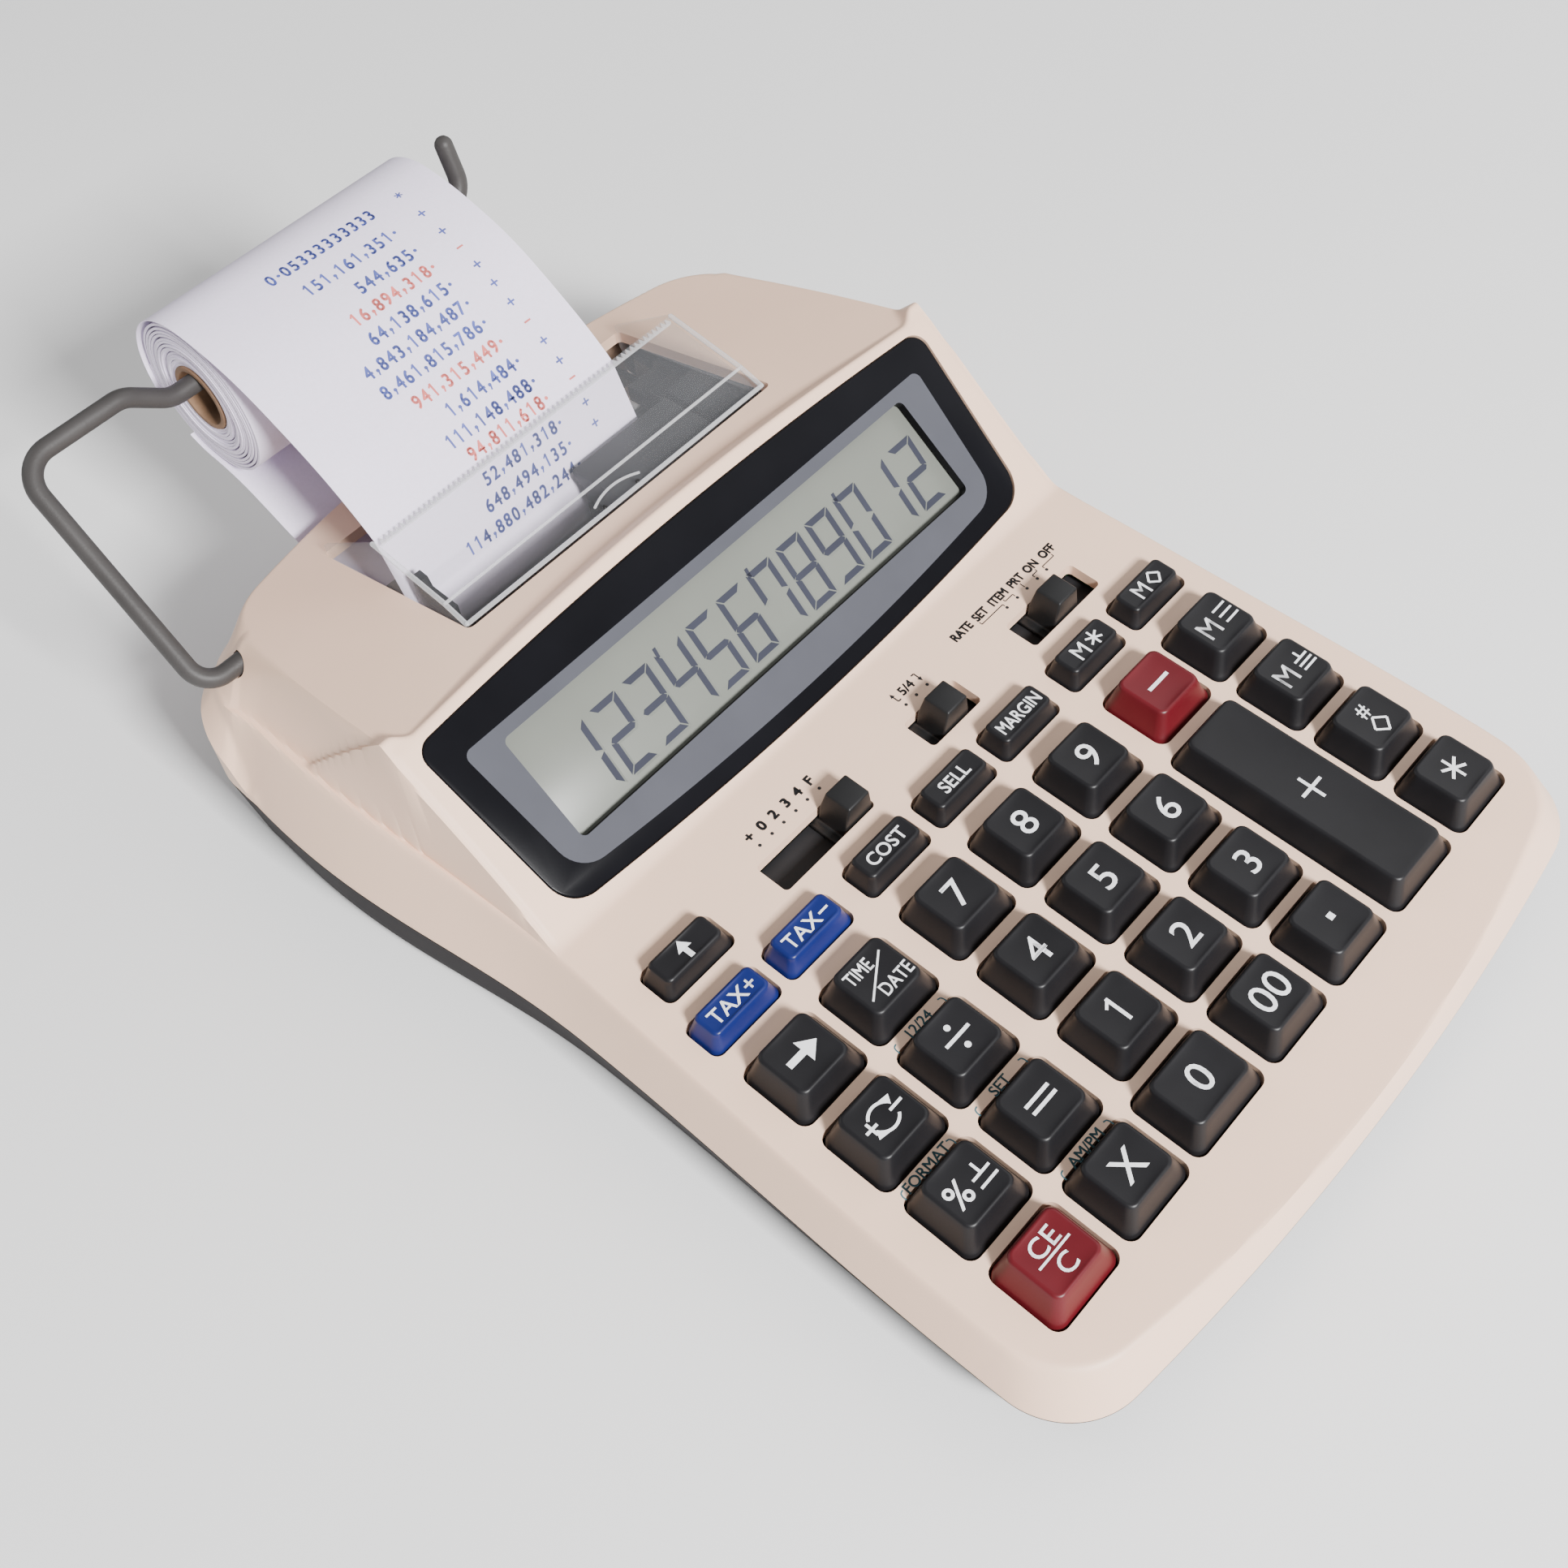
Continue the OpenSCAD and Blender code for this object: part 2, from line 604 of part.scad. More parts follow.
module printer_frame() {
    side = [[33.5, frame_z], [78, frame_z], [78, 34], [69.4, 34], [69.4, 40.5], [64, 40.5], [64, 42.6],
        [50, 43.4], [50, 45.5], [41, 45.5], [41, 47.2], [35.5, 47.2], [33.5, 45]];
    steps = [[44, 38.2], [64, 38.2], [64, 41.5], [58.5, 41.5], [58.5, 43], [53.4, 43], [53.4, 45.8], [44, 45.8]];
    guard = [[43.5, 38], [50.4, 38], [51, 43.5], [52.2, 46], [52.2, 49.9], [50.3, 49.6], [49.5, 47.6], [43.5, 46.8]];
    color("#26282a") difference() {
        union() {
            frame_plate(frame_x[0], plate_t, side);
            frame_plate(frame_x[1], plate_t, side);
            block([frame_x[0] + 1, 36, frame_z], [frame_x[1] + 1, 76, frame_z + 1.5]);
            frame_plate(carriage_x + carriage_half + 1.5, frame_x[1] + 1 - carriage_x - carriage_half - 1.5, steps);
            frame_plate(-35.4, 2, guard);
            block([frame_x[0] + 1, 44, 38], [-33.4, 50.4, 40]);
            rod_x(frame_x[0], frame_x[1] + plate_t, guide, guide_r);
            block([motor_x[0] - 3, 60, frame_z], [motor_x[1], 72, motor_axis[1] - motor_r]);
        }
        rod_x(frame_x[0] - 5, frame_x[1] + 5, platen, platen_shaft_r + fit_gap);
        rod_x(frame_x[1] - 1, frame_x[1] + 5, motor_axis, 2.2);
    }
}

// spur gear with straight-sided teeth, along X from x0
module spur_gear(x0, w, teeth, turn) {
    pitch = gear_module * teeth / 2;
    rotate([90, 0, 90]) translate([0, 0, x0]) linear_extrude(w) union() {
        circle(pitch - 1.25 * gear_module, $fn = 64);
        for (i = [0:teeth - 1])
            rotate(turn + 360 * i / teeth)
                polygon([[pitch - 1.5 * gear_module, -0.42], [pitch, -0.32], [pitch + 0.8 * gear_module, -0.16],
                    [pitch + 0.8 * gear_module, 0.16], [pitch, 0.32], [pitch - 1.5 * gear_module, 0.42]]);
    }
}

module platen_roller() {
    color("#3a3a3e") union() {
        rod_x(paper_x - paper_w / 2 - 0.4, paper_x + paper_w / 2 + 0.4, platen, platen_r);
        rod_x(frame_x[0] - 1, gear_x + gear_w, platen, platen_shaft_r);
        translate([0, platen[0], platen[1]]) spur_gear(gear_x, gear_w, gear_teeth, pinion_angle);
    }
}

module motor_pinion() {
    color("#c8c2b0") union() {
        translate([0, motor_axis[0], motor_axis[1]])
            spur_gear(gear_x, gear_w, pinion_teeth, pinion_angle + 180 + 180 / pinion_teeth);
        rod_x(motor_x[1] + 0.6, gear_x + gear_w + 0.5, motor_axis, 0.8);
    }
}

module printer_motor() {
    color("silver") union() {
        rod_x(motor_x[0], motor_x[1], motor_axis, motor_r);
        rod_x(motor_x[0] - 1, motor_x[0] + 0.5, motor_axis, 3);
    }
}

module print_carriage() {
    x0 = carriage_x - carriage_half;
    x1 = carriage_x + carriage_half;
    shoe = [[32.5, 25.5], [42.5, 25.5], [42.5, 31.2], [32.5, 31.2]];
    ear = [[29.6, 33], [32.5, 25.5], [42.5, 25.5], [47.5, 31], [49.6, 36], [49.6, 43], [52, 44], [52, 46],
        [36, 46], [33, 44], [29.6, 40]];
    lid = [[33, 43.8], [52, 43.8], [52, 46], [36, 46], [33, 44]];
    color("#202226") difference() {
        union() {
            frame_plate(x0, 2 * carriage_half, shoe);
            frame_plate(x0, 2 * carriage_half, lid);
            frame_plate(x0, 1.5, ear);
            frame_plate(x1 - 1.5, 1.5, ear);
        }
        rod_x(x0 - 9, x1 + 9, guide, guide_r + fit_gap);
        rod_x(x0 - 9, x1 + 9, wheel, axle_r + fit_gap);
        rod_x(x0 - 9, x1 + 9, ink, axle_r + fit_gap);
    }
}

module print_wheel() {
    digits = 13;
    color("#2b2b2e") union() {
        rod_x(carriage_x - 9, carriage_x + 9, wheel, wheel_r - 0.6);
        rod_x(carriage_x - carriage_half + 0.2, carriage_x + carriage_half - 0.2, wheel, axle_r);
        for (i = [0:digits - 1])
            translate([0, wheel[0], wheel[1]]) rotate([360 * i / digits, 0, 0])
                block([carriage_x - 8, -0.7, wheel_r - 1], [carriage_x + 8, 0.7, wheel_r - 0.05]);
    }
}

module ink_roller() {
    color("#3b2a6e") rod_x(carriage_x - 9.5, carriage_x + 9.5, ink, ink_r);
    color("#202226") rod_x(carriage_x - carriage_half + 0.2, carriage_x - 9.5, ink, axle_r);
    color("#202226") rod_x(carriage_x + 9.5, carriage_x + carriage_half - 0.2, ink, axle_r);
}

// ---- paper and its arm ----------------------------------------------------

module paper_roll() {
    color("#e8e0e6") difference() {
        rod_x(paper_x - paper_w / 2, paper_x + paper_w / 2, roll, roll_r);
        rod_x(paper_x - paper_w / 2 - 1, paper_x + paper_w / 2 + 1, roll, core_r + core_t);
    }
}

module roll_core() {
    color("#8a6a48") difference() {
        rod_x(paper_x - paper_w / 2 + 0.4, paper_x + paper_w / 2 - 0.4, roll, core_r + core_t);
        rod_x(paper_x - paper_w / 2 - 1, paper_x + paper_w / 2 + 1, roll, core_r);
    }
}

function arc(c, r, a0, a1, n) = [for (i = [0:n]) let (a = a0 + (a1 - a0) * i / n) [c[0] + r * cos(a), c[1] + r * sin(a)]];
function bezier(a, b, c, d, n) = [for (i = [1:n - 1]) let (t = i / n, s = 1 - t)
    s * s * s * a + 3 * s * s * t * b + 3 * s * t * t * c + t * t * t * d];
// side view of the one strip of paper: off the roll, through the case, round
// the platen, up past the tear edge and back over the roll
function tape_path() =
    let (
        r = roll_r + roll_gap,
        pr = platen_r + roll_gap + 0.1,
        off = arc(roll, r, -55, -80, 4),
        slot = [84.5, 38.6],
        under = arc(platen, pr, -68, -189, 12),
        up = [tear[0] + 0.65, tear[1] - 0.7],
        over = arc(roll, r, 98, -22, 24),
        last = off[len(off) - 1]
    )
    concat(
        off,
        bezier(last, last + [-9, -2], slot + [7, 3.5], slot, 7),
        [slot, slot - [4, 1]],
        under,
        [up],
        bezier(up, up + [6, 7], over[0] + [-17, -2], over[0], 10),
        over
    );
function unit(v) = v / norm(v);
function turned(v) = [-v[1], v[0]];
// unit normals along an open line of points
function normals(p) = [for (i = [0:len(p) - 1]) turned(unit(p[min(i + 1, len(p) - 1)] - p[max(i - 1, 0)]))];

module paper_tape() {
    p = tape_path();
    n = normals(p);
    color("#e8e0e6") rotate([90, 0, 90]) translate([0, 0, paper_x - paper_w / 2]) linear_extrude(paper_w)
        polygon(concat(
            [for (i = [0:len(p) - 1]) p[i] + n[i] * tape_t / 2],
            [for (i = [len(p) - 1:-1:0]) p[i] - n[i] * tape_t / 2]
        ));
}

// points of a path with each inner corner rounded to radius r
function rounded_path(p, r, n) = [for (i = [0:len(p) - 1]) each (
    i == 0 || i == len(p) - 1 ? [p[i]] :
    let (
        a = unit(p[i - 1] - p[i]),
        b = unit(p[i + 1] - p[i]),
        half = acos(a * b) / 2,
        room = 0.45 * min(norm(p[i - 1] - p[i]), norm(p[i + 1] - p[i])),
        back = min(r / tan(half), room),
        rr = back * tan(half),
        c = p[i] + unit(a + b) * rr / sin(half)
    )
    [for (k = [0:n]) let (
        from = unit(p[i] + a * back - c), to = unit(p[i] + b * back - c),
        whole = acos(from * to), t = k / n
    ) c + rr * (sin((1 - t) * whole) * from + sin(t * whole) * to) / sin(whole)])];

// round wire swept along points; side is a direction that no part of it follows
module wire(p, r, side) {
    sides = 12;
    rings = [for (i = [0:len(p) - 1]) let (
            t = unit(p[min(i + 1, len(p) - 1)] - p[max(i - 1, 0)]),
            u = unit(cross(side, t)),
            v = cross(t, u)
        ) [for (k = [0:sides - 1]) p[i] + r * (cos(360 * k / sides) * u + sin(360 * k / sides) * v)]];
    skin(rings);
}

module paper_arm() {
    tip = arm_path[len(arm_path) - 1];
    color("#4c4c50") union() {
        wire(rounded_path(arm_path, bend_r, 5), wire_r - 0.05, unit([0, -0.68, 0.73]));
        rod_x(-66, arm_end, hinge, wire_r);
        translate(tip) sphere(wire_r - 0.05, $fn = 24);
    }
}

// ---- drawing --------------------------------------------------------------

top_case();
bottom_case();
display_lens();
lcd_panel();
key_mat();
main_board();
paper_arm();
roll_core();
paper_roll();
paper_tape();
printer_cover();
printer_frame();
platen_roller();
print_carriage();
print_wheel();
ink_roller();
printer_motor();
motor_pinion();
battery_door();
batteries();
rubber_feet();
case_screws();
adaptor_socket();
for (s = switches)
    switch_knob(s);
for (k = keys)
    key(k);
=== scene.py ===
"""Looks of a desktop printing calculator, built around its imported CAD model."""
import json
import math

import bmesh
import bpy
import numpy as np
from mathutils import Matrix, Vector

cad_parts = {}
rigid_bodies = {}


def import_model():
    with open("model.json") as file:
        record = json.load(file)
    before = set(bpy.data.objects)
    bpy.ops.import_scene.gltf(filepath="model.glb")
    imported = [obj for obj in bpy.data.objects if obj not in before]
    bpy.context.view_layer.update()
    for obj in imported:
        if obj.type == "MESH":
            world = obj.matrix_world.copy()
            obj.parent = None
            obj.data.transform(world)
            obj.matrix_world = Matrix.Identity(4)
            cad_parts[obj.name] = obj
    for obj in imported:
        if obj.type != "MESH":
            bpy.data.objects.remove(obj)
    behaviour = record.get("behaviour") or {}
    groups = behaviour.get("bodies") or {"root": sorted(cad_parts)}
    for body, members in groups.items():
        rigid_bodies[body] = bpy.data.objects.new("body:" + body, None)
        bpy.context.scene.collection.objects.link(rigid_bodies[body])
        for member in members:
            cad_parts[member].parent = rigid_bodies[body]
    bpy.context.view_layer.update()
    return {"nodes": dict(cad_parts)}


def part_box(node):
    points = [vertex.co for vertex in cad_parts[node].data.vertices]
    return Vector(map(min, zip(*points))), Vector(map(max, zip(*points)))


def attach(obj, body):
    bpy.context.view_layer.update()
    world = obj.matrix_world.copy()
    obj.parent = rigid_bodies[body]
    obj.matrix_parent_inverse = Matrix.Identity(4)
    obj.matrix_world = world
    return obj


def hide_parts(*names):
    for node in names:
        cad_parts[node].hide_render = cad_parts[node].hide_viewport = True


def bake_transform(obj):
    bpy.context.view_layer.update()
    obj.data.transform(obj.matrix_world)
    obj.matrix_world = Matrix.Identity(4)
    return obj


for old in list(bpy.data.objects):
    bpy.data.objects.remove(old)
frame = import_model()
MM = 0.001
TURN = 2 * np.pi

# ---- proportions of the case, in millimetres ---------------------------------
base_low, base_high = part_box("bottom_case")
FRONT = -base_low.y / MM
REAR = base_high.y / MM
TILT = math.radians(6)                  # slope of the key deck
FALL = math.tan(math.radians(10.1))     # fall of the roof towards the back
DECK_Y, DECK_Z = -65.7, 21.5            # origin of the deck
CREST_Y, CREST_Z, FOOT_Y = 22.3, 53.4, -7.3     # top edge and foot of the display panel
# half widths at the waist and at both ends, and where the waist is
WAIST, FRONT_W, REAR_W = 69.7, 71.7, base_high.x / MM
WAIST_Y = -15.7
CORNER_Y = 73.0                         # behind this the inner outlines keep their width
SKIRT, LEDGE = 3.3, 4.4                 # run of the skirt, and its extra beside the housing
BASE_IN, SHELL = 2.2, 2.3               # how far the base is drawn in, wall thickness
FRONT_BOW, REAR_BOW = 0.001, 0.0024     # curvature of the ends
FLANK_OVER = 4                          # how far the flanks would rise above the roof
# grid columns: straight to here, the housing's edge, and from there to the rim
STRAIGHT_X, EDGE_X, EDGE_TO_RIM = 45, 62, 10.1
BELOW, ABOVE = -4.0, 70.0               # heights clear of the case's cavity and of its top
OPEN_X, OPEN_Y = (-38.3, 35.8), (34.0, 74.2)    # opening over the printer
HINGE = (68.7, 41.35)                   # axis of the wire arm's hinge, in y and z
KEY_EDGE, GLASS_Z = 0.42, -2.2          # rounding of a key's top edge, depth of the display glass


def deck_z(y):
    return DECK_Z + (y - DECK_Y) * math.tan(TILT)


def top_z(y):
    return CREST_Z - (y - CREST_Y) * FALL


def seam_z(y):
    return 15.3 + 0.05 * y


FOOT_Z = deck_z(FOOT_Y)
PANEL = math.atan2(CREST_Z - FOOT_Z, CREST_Y - FOOT_Y)


def tilted(angle, y0, z0):
    """Millimetres on a tilted plane to millimetres in the row frame."""
    c, s = math.cos(angle), math.sin(angle)
    return lambda x, y, z: np.stack([x, y0 + y * c - z * s, z0 + y * s + z * c], -1)


on_deck = tilted(TILT, DECK_Y, DECK_Z)
on_panel = tilted(PANEL, FOOT_Y, FOOT_Z)


def step(t):
    t = np.clip(t, 0, 1)
    return t * t * (3 - 2 * t)


def lower(a, b, k):
    """Smaller of two heights, with the corner between them rounded over k."""
    h = np.maximum(k - np.abs(a - b), 0) / k
    return np.minimum(a, b) - h * h * k / 4


def higher(a, b, k):
    return -lower(-a, -b, k)


# ---- plan outlines: the CAD model's rules, with a fuller crest ---------------
def case_w(y):
    y = np.asarray(y, float)
    front = WAIST + (FRONT_W - WAIST) * np.sin(np.pi / 2 * np.clip((WAIST_Y - y) / 76, 0, 1)) ** 2
    rear = WAIST + (REAR_W - WAIST) * np.sin(np.pi / 2 * np.clip((y - WAIST_Y) / 60, 0, 1.3)) ** 2
    return np.where(y < WAIST_Y, front, rear)


def crest_w(y):
    """The skirt is broader beside the printer housing, and even round the rear corners."""
    y = np.minimum(np.asarray(y, float), CORNER_Y)
    return case_w(y) - LEDGE * np.sin(np.pi * np.clip((y + 38) / 150, 0, 1)) ** 2


def valley_w(y):
    return crest_w(y) - SKIRT - 0.5


def ridge_w(y):
    y = np.minimum(np.asarray(y, float), CORNER_Y)
    v = valley_w(y)
    roof = np.minimum(65 - 0.00093 * y * y, v - 0.6)
    return v - (v - roof) * (1 + 4 / np.maximum(top_z(y) - deck_z(y), 9))


def edge(dist, bow, w, r, side):
    """Right half of a bowed end, from its middle round its corner."""
    x0 = w - r
    x1 = w - r * (1 - math.sin(math.atan(2 * bow * x0)))
    slope = math.atan(2 * bow * x1)
    out = [(x1 * i / 40, side * (dist - bow * (x1 * i / 40) ** 2)) for i in range(41)]
    for i in range(1, 25):
        a = -math.pi / 2 + slope + (math.pi / 2 - slope) * i / 24
        out.append((x1 - r * math.sin(slope) + r * math.cos(a),
                    side * (dist - bow * x1 * x1 - r * math.cos(slope) - r * math.sin(a))))
    return out


def outline(width, front, fbow, rear, rbow, inset=0.0, rf=14.0, rr=13.0):
    """Closed outline between two bowed ends, with sides at width(y)."""
    f = edge(front, fbow, float(width(-front)) - inset, rf, -1)
    b = edge(rear, rbow, float(width(rear)) - inset, rr, 1)[::-1]
    ys = np.linspace(f[-1][1], b[0][1], 62)[1:-1]
    right = f + [(float(width(y)) - inset, float(y)) for y in ys] + b
    return np.array(right + [(-x, y) for x, y in right[-2:0:-1]])


def seam_ring(w=0.0):
    return outline(case_w, FRONT - w, FRONT_BOW, REAR - w, REAR_BOW, w)


def crest_ring(w=0.0):
    # fuller beside the housing, where the wall stands up to a soft lip
    return outline(lambda y: crest_w(y) + 0.36 * (case_w(y) - crest_w(y)), FRONT - 1 - w, 0.00183,
                   REAR - 1.8 - w, REAR_BOW, SKIRT + w)


def valley_ring(w=0.0):
    return outline(valley_w, 40 - w, FRONT_BOW, REAR - 2 - w, 0.0026, w, 4, 10)


def ridge_ring(w=0.0):
    return outline(ridge_w, 40 - w, FRONT_BOW, REAR - 4.4 - w, 0.0028, w, 4, 9)


def inside_distance(x, y, ring):
    """Distance to a closed outline, positive inside it."""
    p = np.stack([x.ravel(), y.ravel()], -1)
    best = np.full(len(p), 1e9)
    inside = np.zeros(len(p), bool)
    for a, b in zip(ring, np.roll(ring, -1, 0)):
        d = b - a
        t = np.clip(((p - a) @ d) / (d @ d), 0, 1)
        q = p - a - t[:, None] * d
        best = np.minimum(best, np.einsum("ij,ij->i", q, q))
        if a[1] != b[1]:
            cross = (a[1] > p[:, 1]) != (b[1] > p[:, 1])
            inside ^= cross & (p[:, 0] < a[0] + (p[:, 1] - a[1]) * (b[0] - a[0]) / (b[1] - a[1]))
    return (np.sqrt(best) * np.where(inside, 1, -1)).reshape(x.shape)


# ---- mesh helpers ------------------------------------------------------------
def linked(name, data):
    """New object in the scene."""
    ob = bpy.data.objects.new(name, data)
    bpy.context.scene.collection.objects.link(ob)
    return ob


def mesh(name, verts, faces, angle=30):
    me = bpy.data.meshes.new(name)
    me.from_pydata((np.asarray(verts, float) * MM).tolist(), [], [list(map(int, f)) for f in faces])
    me.update()
    return smooth(linked(name, me), angle)


def from_bmesh(name, bm):
    me = bpy.data.meshes.new(name)
    bm.to_mesh(me)
    bm.free()
    return linked(name, me)


def smooth(ob, angle=30):
    """Smooth shading, kept sharp where two faces meet at more than angle degrees."""
    bm = bmesh.new()
    bm.from_mesh(ob.data)
    bmesh.ops.recalc_face_normals(bm, faces=bm.faces)
    limit = math.radians(angle)
    for f in bm.faces:
        f.smooth = True
    for e in bm.edges:
        e.smooth = len(e.link_faces) == 2 and e.calc_face_angle(0) < limit
    bm.to_mesh(ob.data)
    bm.free()
    return ob


def weld(me, dist, flat=0.0):
    """Merge points that close together and, given an angle, faces that meet that flat."""
    bm = bmesh.new()
    bm.from_mesh(me)
    bmesh.ops.remove_doubles(bm, verts=bm.verts, dist=dist)
    if flat:
        bmesh.ops.dissolve_limit(bm, angle_limit=flat, verts=bm.verts, edges=bm.edges)
    bm.to_mesh(me)
    bm.free()


def evaluated(ob):
    """New mesh of what an object's modifiers or words make."""
    bpy.context.view_layer.update()
    return bpy.data.meshes.new_from_object(ob.evaluated_get(bpy.context.evaluated_depsgraph_get()))


def carve(ob, cutter, operation="DIFFERENCE"):
    """Cut another solid out, or keep what both share; the cutter is used up."""
    for solver in ("MANIFOLD", "EXACT"):
        m = ob.modifiers.new("cut", "BOOLEAN")
        m.operation, m.solver, m.object = operation, solver, cutter
        made = evaluated(ob)
        ob.modifiers.clear()
        if len(made.polygons) > 4 and len(made.polygons) != len(ob.data.polygons) or solver == "EXACT":
            ob.data = made
            break
        print("carve: manifold solver made nothing for", cutter.name, len(made.polygons))
    bpy.data.objects.remove(cutter)


def bevelled(ob, width, segments=2, angle=35):
    m = ob.modifiers.new("bevel", "BEVEL")
    m.width, m.segments, m.limit_method, m.angle_limit = width * MM, segments, "ANGLE", math.radians(angle)
    made, old = evaluated(ob), ob.data
    ob.modifiers.clear()
    ob.data = made
    if old.users == 0:
        bpy.data.meshes.remove(old)
    return smooth(ob, 40)


def loft(name, rings, cap=True, angle=30):
    """Skin between rings of the same number of points."""
    rings = [np.asarray(r, float) for r in rings]
    n = len(rings[0])
    faces = []
    for k in range(len(rings) - 1):
        for i in range(n):
            a, b = k * n + i, k * n + (i + 1) % n
            faces.append((a, b, b + n, a + n))
    if cap:
        faces.append(tuple(range(n))[::-1])
        faces.append(tuple(range((len(rings) - 1) * n, len(rings) * n)))
    return mesh(name, np.concatenate(rings), faces, angle)


def prism(name, ring, z0, z1, place=None):
    ring = np.asarray(ring, float)
    rings = [np.c_[ring, np.full(len(ring), z)] for z in (z0, z1)]
    if place:
        rings = [place(r[:, 0], r[:, 1], r[:, 2]) for r in rings]
    return loft(name, rings)


def quads(*corners):
    """Faces from four arrays of point numbers."""
    return np.stack(corners, -1).reshape(-1, 4)


def box(name, a, b, place=None):
    (x0, y0, z0), (x1, y1, z1) = a, b
    return prism(name, [(x0, y0), (x1, y0), (x1, y1), (x0, y1)], z0, z1, place)


def round_rect(hx, hy, r, n=8, cx=0.0, cy=0.0, between=1):
    """Rectangle with rounded corners, each straight side in that many pieces."""
    def corner(k, a):
        sx, sy = ((1, 1), (-1, 1), (-1, -1), (1, -1))[k % 4]
        return np.array((cx + sx * (hx - r) + r * math.cos(a), cy + sy * (hy - r) + r * math.sin(a)))

    out = []
    for k in range(4):
        out += [corner(k, math.pi / 2 * (k + i / n)) for i in range(n + 1)]
        start, end = out[-1], corner(k + 1, math.pi / 2 * (k + 1))
        out += [start + (end - start) * i / between for i in range(1, between)]
    return np.array(out)


def circle(axis, along, at, r, n=40):
    """Ring of n points about an axis: 0 along x, 1 along y, 2 along z."""
    a = np.linspace(0, TURN, n, endpoint=False)
    rows = [at[0] + r * np.cos(a), at[1] + r * np.sin(a)]
    rows.insert(axis, np.full(n, along))
    return np.stack(rows, -1)


def rod_x(name, x0, x1, at, r, n=48, chamfer=0.0):
    ends = [(x0, r), (x1, r)]
    if chamfer:
        ends = [(x0, r - chamfer), (x0 + chamfer, r), (x1 - chamfer, r), (x1, r - chamfer)]
    return loft(name, [circle(0, x, at, q, n) for x, q in ends])


def join(name, parts):
    bm = bmesh.new()
    for p in parts:
        me = p.data.copy()
        me.transform(p.matrix_world)
        bm.from_mesh(me)
        bpy.data.meshes.remove(me)
        bpy.data.objects.remove(p)
    return from_bmesh(name, bm)


# ---- materials ---------------------------------------------------------------
def node_material(name):
    m = bpy.data.materials.new(name)
    m.use_nodes = True
    nt = m.node_tree
    return m, nt, nt.nodes["Principled BSDF"]


def texture(nt, scale, detail=4, rough=0.55, distortion=0.0):
    coord = nt.nodes.new("ShaderNodeTexCoord")
    noise = nt.nodes.new("ShaderNodeTexNoise")
    noise.inputs["Scale"].default_value = scale
    noise.inputs["Detail"].default_value = detail
    noise.inputs["Roughness"].default_value = rough
    noise.inputs["Distortion"].default_value = distortion
    nt.links.new(coord.outputs["Object"], noise.inputs["Vector"])
    return noise


def tint(nt, source, low, high):
    ramp = nt.nodes.new("ShaderNodeValToRGB")
    for stop, at, color in zip(ramp.color_ramp.elements, (0.35, 0.65), (low, high)):
        stop.position, stop.color = at, (*color, 1)
    nt.links.new(source.outputs["Fac"], ramp.inputs["Fac"])
    return ramp.outputs["Color"]


def span(nt, source, low, high, output="Fac"):
    r = nt.nodes.new("ShaderNodeMapRange")
    r.inputs["To Min"].default_value, r.inputs["To Max"].default_value = low, high
    nt.links.new(source.outputs[output], r.inputs["Value"])
    return r.outputs["Result"]


def surface(nt, b, noise, low, high, smoothest, roughest):
    """Colour and roughness that both follow the noise."""
    nt.links.new(tint(nt, noise, low, high), b.inputs["Base Color"])
    nt.links.new(span(nt, noise, smoothest, roughest), b.inputs["Roughness"])


def bumps(nt, b, noise, strength, distance):
    bump = nt.nodes.new("ShaderNodeBump")
    bump.inputs["Strength"].default_value = strength
    bump.inputs["Distance"].default_value = distance * MM
    nt.links.new(noise.outputs["Fac"], bump.inputs["Height"])
    nt.links.new(bump.outputs["Normal"], b.inputs["Normal"])


def moulded(name, color, rough=0.5, grain=2600, depth=0.12, spread=0.06, patch=60, rough_spread=0.06,
            distance=0.05, shine=0.5):
    """Moulded plastic, paint or rubber: fine grain, faint patches of colour and gloss."""
    m, nt, b = node_material(name)
    b.inputs["Specular IOR Level"].default_value = shine
    c = np.array(color)
    surface(nt, b, texture(nt, patch, 3), c * (1 - spread), np.minimum(c * (1 + spread), 1),
            rough - rough_spread, rough + rough_spread)
    bumps(nt, b, texture(nt, grain, 3), depth, distance)
    return m


def metal(name, color, rough):
    """Brushed metal, with its marks drawn out along x."""
    m, nt, b = node_material(name)
    b.inputs["Metallic"].default_value = 1.0
    coord = nt.nodes.new("ShaderNodeTexCoord")
    mapping = nt.nodes.new("ShaderNodeMapping")
    mapping.inputs["Scale"].default_value = (1, 40, 40)
    noise = nt.nodes.new("ShaderNodeTexNoise")
    noise.inputs["Scale"].default_value = 60
    noise.inputs["Detail"].default_value = 5
    nt.links.new(coord.outputs["Object"], mapping.inputs["Vector"])
    nt.links.new(mapping.outputs["Vector"], noise.inputs["Vector"])
    c = np.array(color)
    surface(nt, b, noise, c * 0.85, np.minimum(c * 1.12, 1), rough - 0.08, rough + 0.1)
    return m


def clear(name, thin, thick, color):
    """Clear plastic: see-through face on, whiter towards its edges."""
    m, nt, b = node_material(name)
    c = np.array(color)
    surface(nt, b, texture(nt, 40, 2), c * 0.96, c, 0.05, 0.12)
    weight = nt.nodes.new("ShaderNodeLayerWeight")
    weight.inputs["Blend"].default_value = 0.35
    nt.links.new(span(nt, weight, thin, thick, "Facing"), b.inputs["Alpha"])
    return m


def printed(name, color, spread=0.05):
    return moulded(name, color, rough=0.6, grain=900, depth=0.05, spread=spread, patch=300)


